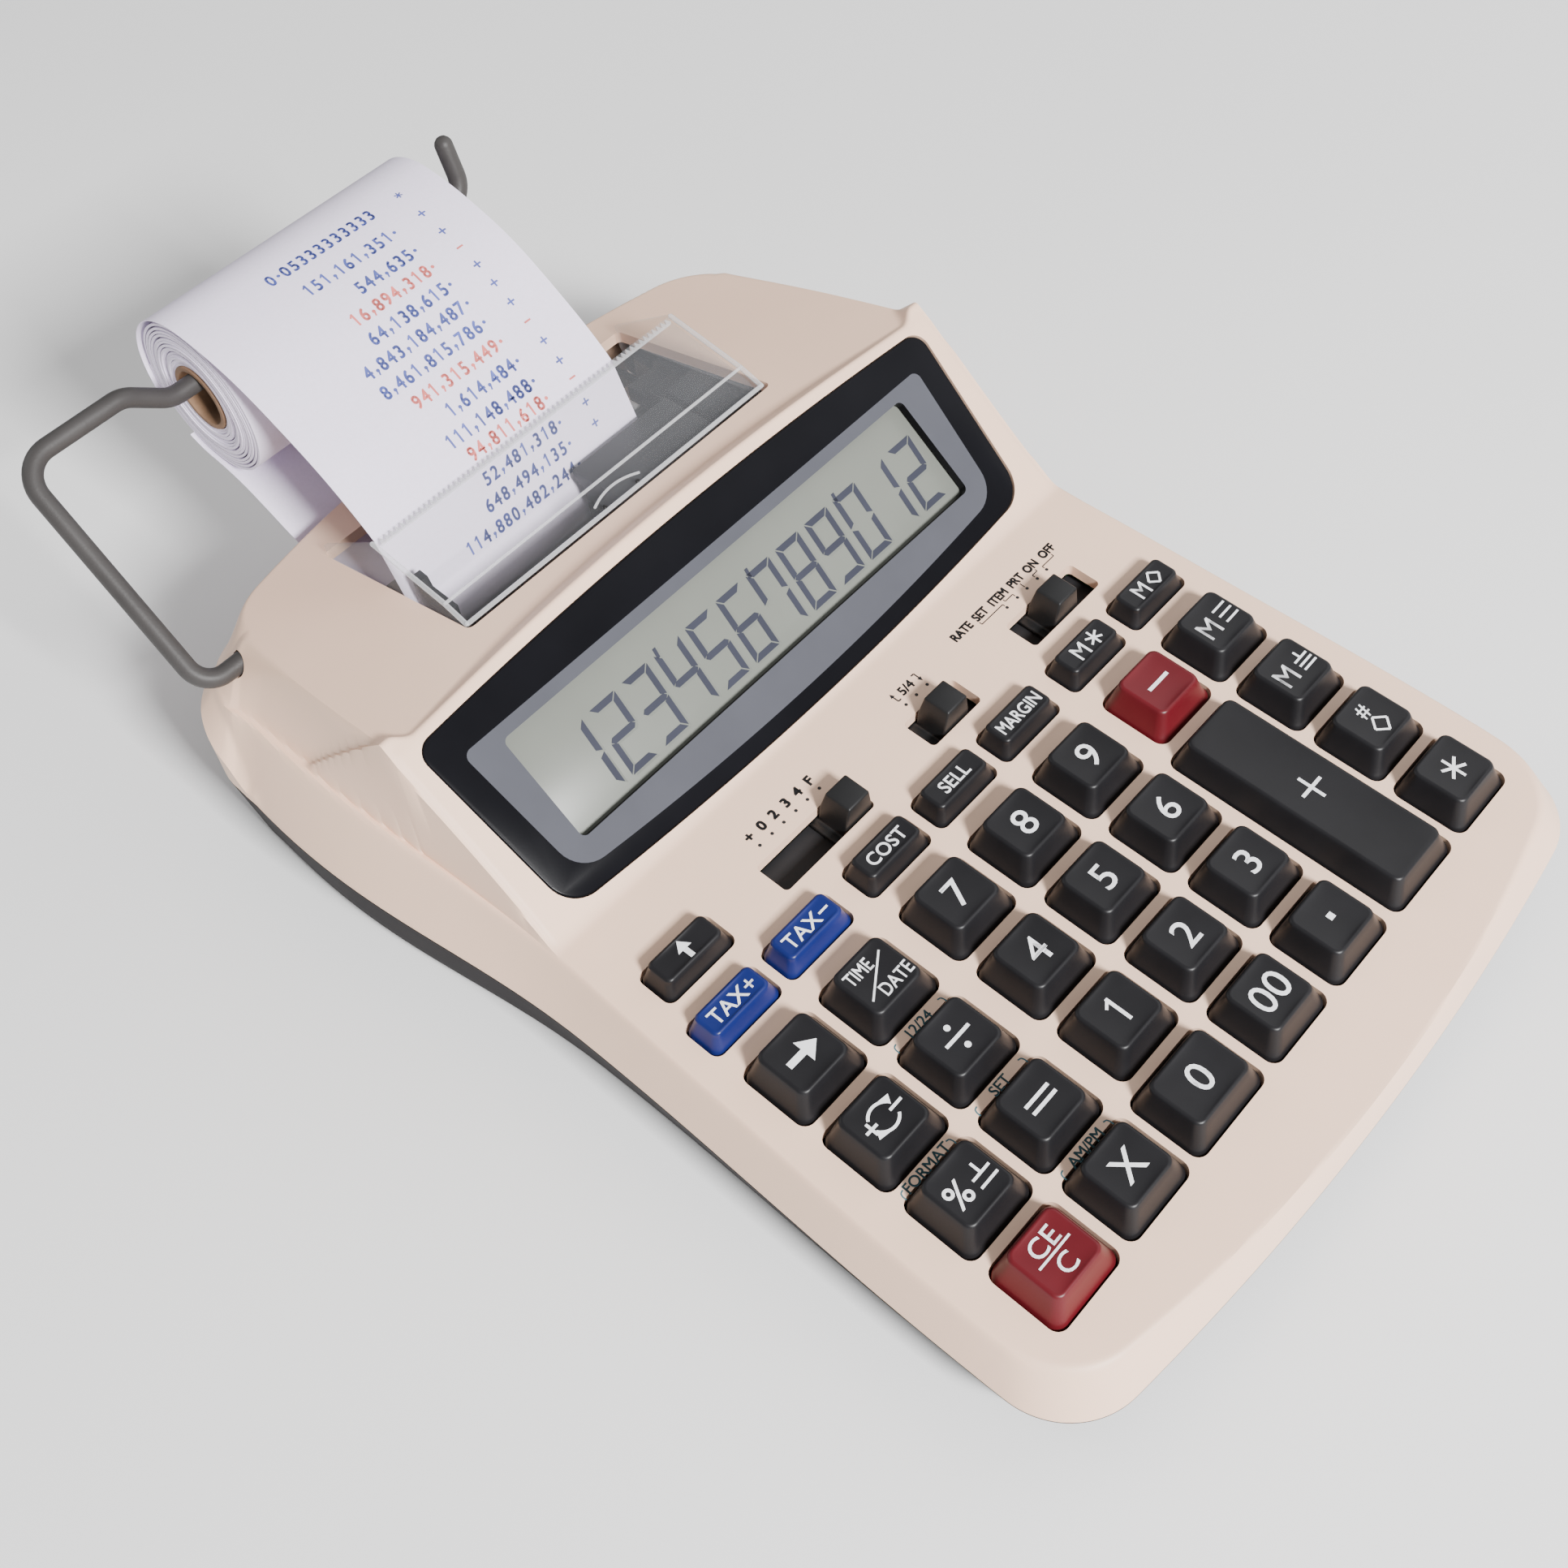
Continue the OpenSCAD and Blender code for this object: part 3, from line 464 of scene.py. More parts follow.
BEIGE = moulded("case_beige", (0.84, 0.575, 0.425), 0.46, 3000, 0.16, 0.02, 30, 0.05, 0.06, 0.4)
GREY = moulded("base_grey", (0.018, 0.015, 0.0165), 0.62, 3000, 0.2, 0.06, 40, shine=0.05)
KEY_BLACK = moulded("key_black", (0.0085, 0.0082, 0.0095), 0.4, 3500, 0.12, 0.12, 90, 0.06, shine=0.26)
KEY_RED = moulded("key_red", (0.09, 0.005, 0.009), 0.38, 3500, 0.12, 0.08, 90, 0.06, shine=0.3)
KEY_BLUE = moulded("key_blue", (0.006, 0.013, 0.105), 0.38, 3500, 0.12, 0.08, 90, 0.06, shine=0.3)
BLACK = moulded("printer_black", (0.01, 0.01, 0.011), 0.45, 1800, 0.2, 0.15, 80, shine=0.2)
CARRIAGE = moulded("carriage_black", (0.017, 0.017, 0.018), 0.5, 1800, 0.2, 0.15, 80, shine=0.2)
BEZEL = moulded("bezel_black", (0.006, 0.006, 0.0075), 0.2, 2200, 0.04, 0.1, 50, 0.04, shine=0.05)
BAND = moulded("bezel_grey", (0.07, 0.072, 0.085), 0.26, 2200, 0.05, 0.05, 60, 0.04, shine=0.15)
LCD = moulded("display_glass", (0.165, 0.173, 0.153), 0.26, 1500, 0.03, 0.035, 35, 0.05, shine=0.15)
SEGMENT = moulded("display_segment", (0.036, 0.038, 0.054), 0.35, 1500, 0.03, 0.08, 60, 0.04, shine=0.15)
SHADE = moulded("display_shadow", (0.15, 0.158, 0.141), 0.4, 1500, 0.03, 0.05, 60, 0.04, shine=0.15)
RUBBER = moulded("key_rubber", (0.09, 0.095, 0.1), 0.7, 1500, 0.25, 0.1)
FOOT = moulded("foot_rubber", (0.02, 0.02, 0.021), 0.8, 1500, 0.35, 0.12)
BOARD = moulded("board_green", (0.01, 0.085, 0.03), 0.4, 900, 0.3, 0.25, 200)
ARM = moulded("arm_paint", (0.042, 0.039, 0.038), 0.5, 2200, 0.35, 0.12, 70, 0.08, 0.09, shine=0.3)
CARD = moulded("core_cardboard", (0.2, 0.115, 0.065), 0.85, 900, 0.6, 0.2, 150, 0.05, 0.2)
SWITCH = moulded("switch_black", (0.009, 0.009, 0.0095), 0.45, 2600, 0.2, 0.12, 90, shine=0.3)
SLOT = moulded("slot_black", (0.014, 0.0135, 0.015), 0.6, 2600, 0.15, 0.15, 90, shine=0.3)
INK = moulded("ink_felt", (0.05, 0.03, 0.16), 0.9, 1200, 0.9, 0.3, 300, 0.05, 0.2)
WHEEL = moulded("wheel_dark", (0.03, 0.03, 0.032), 0.6, 1500, 0.4, 0.2)
NYLON = moulded("pinion_nylon", (0.6, 0.56, 0.48), 0.45, 1500, 0.2, 0.05)
WRAP = moulded("cell_wrap", (0.02, 0.13, 0.075), 0.3, 900, 0.1, 0.1)
STEEL = metal("screw_steel", (0.55, 0.55, 0.56), 0.3)
MOTOR = metal("motor_steel", (0.62, 0.62, 0.63), 0.32)
CLEAR = clear("cover_clear", 0.01, 0.28, (0.5, 0.51, 0.54))
# whiter, more opaque clear plastic for the cover's rims, grip arc and tear teeth; its bright tone is a painted
# highlight of the cover's edges
CLEAR_HIGHLIGHT = clear("cover_edge_highlight", 0.2, 0.85, (0.8, 0.81, 0.83))
WHITE = printed("legend_white", (0.8, 0.8, 0.82))
DARK = printed("legend_black", (0.009, 0.0085, 0.0095))
TEAL = printed("legend_teal", (0.04, 0.125, 0.15))
PRINT_BLUE = printed("print_blue", (0.075, 0.095, 0.33), 0.25)
PRINT_RED = printed("print_red", (0.62, 0.145, 0.13), 0.2)


def paper_material(name, color):
    """Uncoated paper: fibres that catch the light and a soft, faintly wavy sheet."""
    m, nt, b = node_material(name)
    c = np.array(color)
    fibre = texture(nt, 1400, 6, 0.7, 0.6)
    surface(nt, b, fibre, c * 0.97, np.minimum(c * 1.02, 1), 0.82, 0.95)
    bumps(nt, b, fibre, 0.25, 0.04)
    return m


PAPER = paper_material("paper_white", (0.78, 0.715, 0.86))


def finish(ob, material, body, slot, *nodes):
    ob.data.materials.clear()
    ob.data.materials.append(material)
    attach(ob, body)
    if nodes:
        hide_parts(*nodes)
    return ob


# ---- top case ----------------------------------------------------------------
def lines(*spans):
    """Grid lines over spans of (start, end, spacing)."""
    out = []
    for a, b, s in spans:
        out += list(np.linspace(a, b, max(1, round((b - a) / s)), endpoint=False))
    return np.array(out + [spans[-1][1]])


def surround_bow(x):
    """How far the surround of the display reaches up over the crest."""
    return 3.1 * (1 - np.clip(np.abs(x) / EDGE_X, 0, 1) ** 2)


def heights(x, y, w=0.0, soft=True):
    """Height of the top case's skin over a point in plan, drawn inwards by w."""
    k_deck, k_roof, k_flank, k_foot = (1.5, 1.2, 2.2, 0.8) if soft else (0.01,) * 4
    deck, top = deck_z(y), top_z(y)
    d_seam = inside_distance(x, y, seam_ring(w))
    d_crest = -inside_distance(x, y, crest_ring(w))
    t = d_seam / np.maximum(d_seam + d_crest, 0.6)
    z = lower(seam_z(y) + 0.2 + (deck - w - seam_z(y)) * t, deck - w, k_deck)
    d_valley = inside_distance(x, y, valley_ring(w))
    d_ridge = -inside_distance(x, y, ridge_ring(w))

    def flank(out):
        u = (d_valley + out) / np.maximum(d_valley + d_ridge, 0.5)
        return deck + (top + FLANK_OVER - deck) * u

    panel = FOOT_Z + (y - FOOT_Y) * math.tan(PANEL) - w / math.cos(PANEL)
    roof = top - w / math.cos(math.atan(FALL))
    hump = lower(lower(panel, roof, k_roof), flank(0), k_flank)
    if soft:
        groove = np.exp(-((d_valley + 0.6) / 0.9) ** 2) * step((y + 6) / 16)
        z = z - 0.5 * groove
    z = higher(z, hump, k_foot)
    if not soft:
        return z
    # bowed surround of the display, proud of the roof and of the flanks
    v = math.hypot(CREST_Y - FOOT_Y, CREST_Z - FOOT_Z) + 0.4 + surround_bow(x)
    yc, zc = FOOT_Y + v * math.cos(PANEL), FOOT_Z + v * math.sin(PANEL)
    behind = zc - 1.15 * (y - yc)
    beside = 33.4 + (48.5 - y) * 0.9
    wide = step((np.abs(x) - 59.5) / 4.0)
    back = behind * (1 - wide) + beside * wide
    rim = lower(lower(panel, back, 1.1), flank(0.9), 1.8)
    return higher(z, rim, 1.2)


def case_grid(w, soft, cell):
    """Solid block under the skin, on a grid that is finer where the skin turns."""
    half = lines((0, STRAIGHT_X, 3), (STRAIGHT_X, 75.6, 0.38 * cell))
    gx = np.concatenate([-half[:0:-1], half])
    gy = lines((-119.5, -106, 0.36 * cell), (-106, -14, 2), (-14, -3, 0.5 * cell), (-3, 19, 0.9),
               (19, 31, 0.3 * cell), (31, 50, 0.5 * cell), (50, 66, 0.8 * cell), (66, 91, 0.36 * cell))
    x, y = np.meshgrid(gx, gy, indexing="ij")
    # rows follow the surround and the bowed ends
    bow = surround_bow(x) * math.cos(PANEL)
    rows = y + bow * step((y - 8) / 12) * step((40 - y) / 10)
    rows = rows + 0.0014 * x * x * step((-93 - rows) / 15)
    y = rows - REAR_BOW * np.minimum(x * x, STRAIGHT_X ** 2) * step((rows - 64) / 13)
    # columns follow the edge of the housing and the outline of the case
    panel = FOOT_Z + (y - FOOT_Y) * math.tan(PANEL)
    rise = (np.minimum(panel, top_z(y)) - deck_z(y)) / (top_z(y) + FLANK_OVER - deck_z(y))
    edge = valley_w(y) - (valley_w(y) - ridge_w(y)) * np.clip(rise, 0, 1)
    far = np.abs(x)
    inner = STRAIGHT_X + (far - STRAIGHT_X) * (edge - STRAIGHT_X) / (EDGE_X - STRAIGHT_X)
    outer = edge + (far - EDGE_X) * (case_w(y) - edge) / EDGE_TO_RIM
    x = np.sign(x) * np.where(far < STRAIGHT_X, far, np.where(far < EDGE_X, inner, outer))
    z = heights(x, y, w, soft)
    n, m = x.shape
    up = np.stack([x, y, z], -1).reshape(-1, 3)
    down = np.stack([x, y, np.full_like(z, -6)], -1).reshape(-1, 3)
    idx = np.arange(n * m).reshape(n, m)
    q = quads(idx[:-1, :-1], idx[1:, :-1], idx[1:, 1:], idx[:-1, 1:])
    rim = np.concatenate([idx[:-1, 0], idx[-1, :-1], idx[:0:-1, -1], idx[0, :0:-1]])
    ahead = np.roll(rim, -1)
    sides = quads(ahead, rim, rim + n * m, ahead + n * m)
    return mesh("grid", np.concatenate([up, down]), np.concatenate([q, q[:, ::-1] + n * m, sides]))


def key_place(lo, hi):
    """Middle of a key on the deck, from where the CAD model has it."""
    x = (lo.x + hi.x) / 2 / MM
    y, z = (lo.y + hi.y) / 2 / MM, (lo.z + hi.z) / 2 / MM
    return x, (y - DECK_Y) * math.cos(TILT) + (z - DECK_Z) * math.sin(TILT)


KEYS = {}
KEY_NODES = [n for n in frame["nodes"] if n.startswith("key_") and n != "key_mat"]
SMALL = {"key_paper_feed", "key_tax_plus", "key_tax_minus", "key_cost", "key_sell", "key_margin",
         "key_memory_total", "key_memory_subtotal"}
for n in KEY_NODES:
    lo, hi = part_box(n)
    long = 21.9 if n == "key_plus" else 3.45 if n in SMALL else 6.45
    KEYS[n] = (*key_place(lo, hi), (hi.x - lo.x) / MM / 2 - 0.8, long)

SLOTS = [(-33, -10.8), (4.5, 17.6), (32.7, 51.7)]


def slot_solid(name, a, b, grow, half, z0, z1):
    """Rounded bar on the deck over a switch slot that runs from a to b."""
    ring = round_rect((b - a) / 2 + grow, half, 0.9, 5, (a + b) / 2, (38.3 + 45.1) / 2)
    return prism(name, ring, z0, z1, on_deck)


def fillet(p, a, b, half, back, r, n):
    """Arc that rounds corner p between directions a and b, which are two halves apart."""
    c = p + (a + b) / np.linalg.norm(a + b) * r / math.sin(half)
    s, e = p + a * back - c, p + b * back - c
    whole = math.acos(float(np.clip(s @ e / (np.linalg.norm(s) * np.linalg.norm(e)), -1, 1)))
    return [c + (math.sin((1 - k / n) * whole) * s + math.sin(k / n * whole) * e) / math.sin(whole)
            for k in range(n + 1)]


def rounded(ring, radii, n=10):
    """Round the named corners of an outline; radii is {point number: radius}."""
    arcs, reach = {}, {}
    for i, r in radii.items():
        p = ring[i]
        a = ring[i - 1] - p
        b = ring[(i + 1) % len(ring)] - p
        a, b = a / np.linalg.norm(a), b / np.linalg.norm(b)
        half = math.acos(float(np.clip(a @ b, -1, 1))) / 2
        reach[i] = r / math.tan(half)
        arcs[i] = fillet(p, a, b, half, reach[i], r, n)
    out = []
    for i, p in enumerate(ring):
        if i in arcs:
            out += arcs[i]
        elif all(np.linalg.norm(p - ring[j]) > reach[j] + 0.05 for j in radii):
            out.append(p)
    return np.array(out)


def lens_ring(grow=0.0):
    """Outline of the display window, wider and less bowed at its top."""
    low, high = 0.5, 40.0
    lo_x, hi_x = 58.6 + grow, 61.6 + grow
    pts = [(lo_x * t, low - grow + 0.0007 * (lo_x * t) ** 2) for t in np.linspace(-1, 1, 41)]
    pts += [(-hi_x * t, high + grow - 0.0006 * (hi_x * t) ** 2) for t in np.linspace(-1, 1, 41)]
    return rounded(np.array(pts), {0: 6.3, 40: 6.3, 41: 3.2, 81: 3.2})


def seam_at(w, z):
    """Outline of the case drawn in by w; z is a height, or a rule for it along y."""
    r = seam_ring(w)
    return np.c_[r, z(r[:, 1]) if callable(z) else np.full(len(r), z)]


def top_case():
    ob = case_grid(0.0, True, 1.0)
    carve(ob, loft("wall", [seam_at(0.0, seam_z), seam_at(0.0, ABOVE)]), "INTERSECT")
    inner = case_grid(SHELL, False, 2.5)
    carve(inner, loft("wall", [seam_at(SHELL, BELOW), seam_at(SHELL, ABOVE)]), "INTERSECT")
    carve(ob, inner)
    # openings for keys and switches, then the seat of the window and the hole for the display
    cuts = []
    for n, (x, y, hx, hy) in KEYS.items():
        ring = round_rect(hx + 0.35, hy + 0.35, 1.6 if n in SMALL else 2.0, 6, x, y)
        cuts.append(prism("cut", ring, -6, 3, on_deck))
    cuts += [slot_solid("cut", a, b, 0, 3.4, -6, 3) for a, b in SLOTS]
    carve(ob, join("cuts", cuts))
    carve(ob, prism("cut", lens_ring(0.14), -1.9, 6, on_panel))
    carve(ob, box("cut", (-52.6, 8, -9), (52.6, 32.2, 1), on_panel))
    # the opening over the printer, and the way out for the paper behind it
    n = 24
    front = [(OPEN_X[0] + (OPEN_X[1] - OPEN_X[0]) * k / n, OPEN_Y[0]) for k in range(n + 1)]
    hole = rounded(np.array(front + [(OPEN_X[1], OPEN_Y[1]), (OPEN_X[0], OPEN_Y[1])]),
                   {0: 1.2, n: 1.2, n + 1: 1.0, n + 2: 1.0}, 5)
    carve(ob, prism("cut", hole, 35, 60))
    carve(ob, box("cut", (-38.7, 76, 36.6), (22.1, 96, 40.2)))
    # holes for the wire arm and for the adaptor
    carve(ob, rod_x("cut", -80, -51, HINGE, 2.0, 40))
    lo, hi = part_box("adaptor_socket")
    jack = ((lo.x + hi.x) / 2 / MM, 27.0)
    carve(ob, loft("cut", [circle(1, y, jack, 4.2) for y in (60, 100)]))
    weld(ob.data, 0.00002)
    ob.name = "case_top"
    smooth(ob, 33)
    return finish(ob, BEIGE, "case", "case_beige", "top_case")


top_case()


# ---- bottom case -------------------------------------------------------------
SCREWS = [(s * x, y) for s in (-1, 1) for x, y in ((35, -110), (59.5, -8), (53, 54))]
FEET = [(s * x, y) for s in (-1, 1) for x, y in ((58, -88), (60, 66))]


def bottom_case():
    insets = ((BASE_IN + 1.3, 2.0), (BASE_IN + 0.6, 2.15), (BASE_IN + 0.15, 2.7), (BASE_IN - 0.05, 3.5))
    rings = [seam_at(w, z) for w, z in insets]
    for t in (0.25, 0.5, 0.75, 1.0):
        w = (BASE_IN - 0.05) * (1 - t) + 0.02
        rings.append(seam_at(w, lambda y: 3.5 + (seam_z(y) - 0.35 - 3.5) * t))
    ob = loft("base", rings)
    carve(ob, loft("cut", [seam_at(BASE_IN + 2.4, 4.0), seam_at(SHELL, lambda y: seam_z(y) + 1)]))
    lo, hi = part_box("battery_door")
    grow = 0.4
    carve(ob, box("cut", (lo.x / MM - grow, lo.y / MM - grow, 0), (hi.x / MM + grow, hi.y / MM + grow, 6)))
    holes = [(at, 3.0, 5.0) for at in SCREWS] + [(at, 6.1, 2.6) for at in FEET]
    carve(ob, join("cuts", [loft("cut", [circle(2, z, at, r) for z in (0.0, h)]) for at, r, h in holes]))
    ob.name = "case_bottom"
    smooth(ob, 33)
    return finish(ob, GREY, "case", "base_grey", "bottom_case")


bottom_case()


# ---- flat shapes for legends -------------------------------------------------
CAP = 0.729         # height of the built-in font's capitals at size 1


class Ink:
    """Flat shapes gathered into one thin decal."""
    def __init__(self):
        self.v, self.f = [], []

    def add(self, pts, faces):
        n = len(self.v)
        self.v += [tuple(map(float, p)) for p in pts]
        self.f += [tuple(i + n for i in f) for f in faces]
        return self

    def poly(self, pts):
        return self.add(pts, [tuple(range(len(pts)))])

    def bar(self, x0, y0, x1, y1, w):
        d = np.array([x1 - x0, y1 - y0], float)
        d = d / np.linalg.norm(d)
        k = np.array([-d[1], d[0]]) * w / 2
        a, b = np.array([x0, y0]), np.array([x1, y1])
        n = max(1, int(np.linalg.norm(b - a) / 1.2))
        for i in range(n):
            p, q = a + (b - a) * i / n, a + (b - a) * (i + 1) / n
            self.poly([p - k, q - k, q + k, p + k])
        return self

    def path(self, pts, w):
        for a, b in zip(pts, pts[1:]):
            self.bar(*a, *b, w)
        return self

    def arc(self, cx, cy, r, a0, a1, w):
        n = 20
        a = np.radians(np.linspace(a0, a1, n + 1))
        pts = [((cx + (r + k) * math.cos(t), cy + (r + k) * math.sin(t))) for k in (-w / 2, w / 2) for t in a]
        return self.add(pts, [(i, i + 1, i + 1 + n + 1, i + n + 1) for i in range(n)])

    def dot(self, x, y, r):
        return self.poly([(x + r * math.cos(t), y + r * math.sin(t)) for t in np.linspace(0, TURN, 17)[:-1]])

    def text(self, words, height, x=0.0, y=0.0, wide=1.0, bold=0.0):
        """Words with capitals of that height; x, y is the middle of the line."""
        if words == "1":
            w = height * (0.125 + 1.2 * bold)
            stem = x + 0.02 * height
            self.bar(stem, y - height / 2, stem, y + height / 2, w)
            return self.bar(x - 0.24 * height * wide, y + 0.24 * height, stem, y + 0.44 * height, w * 0.8)
        c = bpy.data.curves.new("words", "FONT")
        c.body, c.size, c.resolution_u = words, 1, 4
        ob = linked("words", c)
        me = evaluated(ob)
        pts = np.array([v.co[:2] for v in me.vertices])
        faces = [tuple(p.vertices) for p in me.polygons]
        bpy.data.objects.remove(ob)
        bpy.data.meshes.remove(me)
        pts = pts * height / CAP
        pts[:, 0] *= wide
        pts[:, 0] += x - (pts[:, 0].min() + pts[:, 0].max()) / 2
        pts[:, 1] += y - height / 2
        if not bold:
            return self.add(pts, faces)
        d = bold * height / CAP
        for sx, sy in ((-1, -1), (1, -1), (1, 1), (-1, 1)):
            self.add(pts + np.array([sx * d, sy * d]), faces)
        return self

    def make(self, name, place, material, body):
        """place turns an array of flat x, y into points in the row frame, in millimetres."""
        bm = bmesh.new()
        vs = [bm.verts.new(q * MM) for q in place(np.array(self.v))]
        for f in self.f:
            if len(set(f)) > 2:
                try:
                    bm.faces.new([vs[i] for i in f])
                except ValueError:
                    pass
        ob = from_bmesh(name, bm)
        ob.data.materials.append(material)
        if body:
            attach(ob, body)
        return ob


# ---- keys --------------------------------------------------------------------
def dish(x, y, hx, hy):
    """Depth of the finger hollow of a key top."""
    return 0.26 * (1 - np.clip(x / hx, -1, 1) ** 2) * (1 - np.clip(y / hy, -1, 1) ** 8)


def key_sizes(n):
    """Place, half sizes at the foot and at the top, lean of the top, and height."""
    x, y, hx, hy = KEYS[n]
    if n in SMALL:
        return x, y, hx, hy, hx - 1.4, hy - 1.0, 0.35, 3.2
    return x, y, hx, hy, hx - 2.15, hy - 1.6, 0.6, 4.55


def key_body(n):
    x, y, hx, hy, tx, ty, back, high = key_sizes(n)

    def ring(ax, ay, r, dy, z):
        q = round_rect(ax, ay, r, 8, 0, dy, 10)
        return np.c_[q, np.full(len(q), z)]

    rings = [ring(hx + 0.75, hy + 0.75, 1.6, 0, z) for z in (-4.2, -3.5)]
    rings.append(ring(hx - 0.02, hy - 0.02, 1.9, 0, -3.3))
    rb, rt = (1.6, 1.15) if n in SMALL else (2.1, 1.6)
    for t in (0.0, 0.12, 0.3, 0.5, 0.7, 0.86):
        k = t ** 0.86
        z = -0.4 + (high + 0.4) * t
        rings.append(ring(hx + (tx - hx) * k, hy + (ty - hy) * k, rb + (rt - rb) * t, back * t, z))
    e = KEY_EDGE
    for a in (0, 22, 45, 67, 90):
        s, c = math.sin(math.radians(a)), 1 - math.cos(math.radians(a))
        grow = 0.14 * (1 - s)
        rings.append(ring(tx + grow - e * c, ty + grow * 0.8 - e * c, rt - 0.1 - 0.3 * c, back,
                          high - e * (1 - s) - 0.02))
    for k in (0.97, 0.93, 0.88, 0.82, 0.75, 0.66, 0.56, 0.45, 0.32, 0.18, 0.06):
        inner = ring((tx - e) * k, (ty - e) * k, max((rt - 0.4) * k, 0.1), back, 0.0)
        inner[:, 2] = high - 0.02 - dish(inner[:, 0], inner[:, 1] - back, tx - e, ty - e)
        rings.append(inner)
    ob = loft(n + "_cap", [on_deck(r[:, 0] + x, r[:, 1] + y, r[:, 2]) for r in rings], angle=50)
    slot, material = "key_black", KEY_BLACK
    if n in ("key_minus", "key_clear"):
        slot, material = "key_red", KEY_RED
    elif n in ("key_tax_plus", "key_tax_minus"):
        slot, material = "key_blue", KEY_BLUE
    return finish(ob, material, n, slot, n)


def plus_sign(i, x, y, s, w):
    return i.bar(x - s, y, x + s, y, w).bar(x, y - s, x, y - w / 2, w).bar(x, y + w / 2, x, y + s, w)


def arrow(i, x, y, dx, dy, size, shaft, head):
    """Solid arrow of that length pointing along dx, dy."""
    d, k = np.array([dx, dy], float), np.array([-dy, dx], float)
    c = np.array([x, y], float)
    tip, neck, tail = c + d * size / 2, c + d * (size / 2 - head), c - d * size / 2
    i.poly([tail - k * shaft / 2, neck - k * shaft / 2, neck + k * shaft / 2, tail + k * shaft / 2])
    return i.poly([neck - k * head * 0.75, tip, neck + k * head * 0.75])


def diamond(i, x, y, s, w):
    return i.path([(x - s, y), (x, y + s), (x + s, y), (x, y - s), (x - s, y)], w)


def star(i, x, y, s, w):
    for a in (90, 30, 150):
        c, q = math.cos(math.radians(a)) * s, math.sin(math.radians(a)) * s
        i.bar(x - c, y - q, x + c, y + q, w)
    return i


# words as (text, height, x, y, width, weight) and bars as (x0, y0, x1, y1, thickness)
WORDS = {
    "multiply": [("X", 4.7, 0, 0, 1.02, 0.004)], "subtotal": [("#", 2.7, 0, 2.1, 1.05, 0.008)],
    "clear": [("CE", 3.0, 0, 2.1, 1.1, 0.007), ("C", 3.0, 0, -2.1, 1.1, 0.007)],
    "percent": [("%", 4.2, -2.25, 0, 1.0, 0.008)],
    "time_date": [("TIME", 2.4, -1.6, 2.5, 0.76, 0.008), ("DATE", 2.4, 1.6, -2.4, 0.8, 0.008)],
    "tax_plus": [("TAX+", 2.7, 0, 0, 1.02, 0.008)], "tax_minus": [("TAX", 2.7, -1.1, 0, 1.02, 0.008)],
    "cost": [("COST", 2.45, 0, 0, 1.0, 0.012)], "sell": [("SELL", 2.45, 0, 0, 1.0, 0.012)],
    "margin": [("MARGIN", 2.45, 0, 0, 0.82, 0.012)],
    **{k: [("M", 4.1, -2.1, 0, 0.98, 0.002)] for k in ("memory_plus", "memory_minus")},
    **{k: [("M", 3.3, -1.7, 0, 0.98, 0.003)] for k in ("memory_total", "memory_subtotal")},
    **{k: [(k, 4.9, 0, 0.1, 1.1, 0.004)] for k in (*"0123456789", "00")},
}
BARS = {
    "minus": [(-2.6, 0, 2.6, 0, 0.7)], "divide": [(-2.7, 0, 2.7, 0, 0.6)],
    "equals": [(-2.7, 0.75, 2.7, 0.75, 0.6), (-2.7, -0.75, 2.7, -0.75, 0.6)],
    "clear": [(-3.5, 0, 3.5, 0, 0.38)], "time_date": [(-3.9, -2.5, 3.5, 2.6, 0.34)],
    "percent": [(0.7, -0.4, 4.4, -0.4, 0.45), (2.55, 1.1, 2.55, -0.2, 0.45), (2.55, 1.1, 2.55, 1.6, 0.45),
                (0.7, -2.0, 4.4, -2.0, 0.45)],
    "sign_change": [(1.4, 0, 4.0, 0, 0.5)], "tax_minus": [(2.9, -0.1, 4.9, -0.1, 0.4)],
    "memory_plus": [(1.2, y, 4.5, y, 0.42) for y in (-1.5, 0.0, 1.5)],
    "memory_minus": [(1.2, 0.35, 4.5, 0.35, 0.42), (2.85, 0.5, 2.85, 1.9, 0.42), (1.2, -0.7, 4.5, -0.7, 0.42),
                     (1.2, -1.7, 4.5, -1.7, 0.42)],
}


def legend(n):
    i = Ink()
    name = n[len("key_"):]
    for word in WORDS.get(name, ()):
        i.text(*word)
    for bar in BARS.get(name, ()):
        i.bar(*bar)
    if name == "plus":
        plus_sign(i, 0, 0, 2.6, 0.62)
    elif name == "divide":
        i.dot(0, 2.0, 0.55).dot(0, -2.0, 0.55)
    elif name == "point":
        i.poly([(-0.6, -0.5), (0.6, -0.5), (0.6, 0.7), (-0.6, 0.7)])
    elif name == "total":
        star(i, 0, 0, 2.25, 0.55)
    elif name == "subtotal":
        diamond(i, 0, -1.75, 1.75, 0.42)
    elif name == "sign_change":
        plus_sign(i, -2.7, 0, 1.2, 0.5)
        i.arc(0, -0.55, 2.75, 40, 140, 0.5).arc(0, 0.55, 2.75, 220, 320, 0.5)
        i.poly([(1.3, 2.2), (3.2, 1.9), (2.3, 0.5)]).poly([(-1.3, -2.2), (-3.2, -1.9), (-2.3, -0.5)])
    elif name == "memory_total":
        star(i, 2.2, 0, 1.6, 0.42)
    elif name == "memory_subtotal":
        diamond(i, 2.2, 0, 1.45, 0.42)
    elif name == "paper_feed":
        arrow(i, 0, 0, 0, 1, 3.7, 0.95, 1.9)
    elif name == "shift_right":
        arrow(i, 0, 0, 1, 0, 6.3, 1.2, 2.9)
    x, y, _, _, tx, ty, back, high = key_sizes(n)

    def place(p):
        z = high - dish(p[:, 0], p[:, 1], tx - KEY_EDGE, ty - KEY_EDGE) + 0.05
        return on_deck(p[:, 0] + x, p[:, 1] + y + back, z)

    return i.make(n + "_legend", place, WHITE, n)


for n in KEY_NODES:
    key_body(n)
    legend(n)


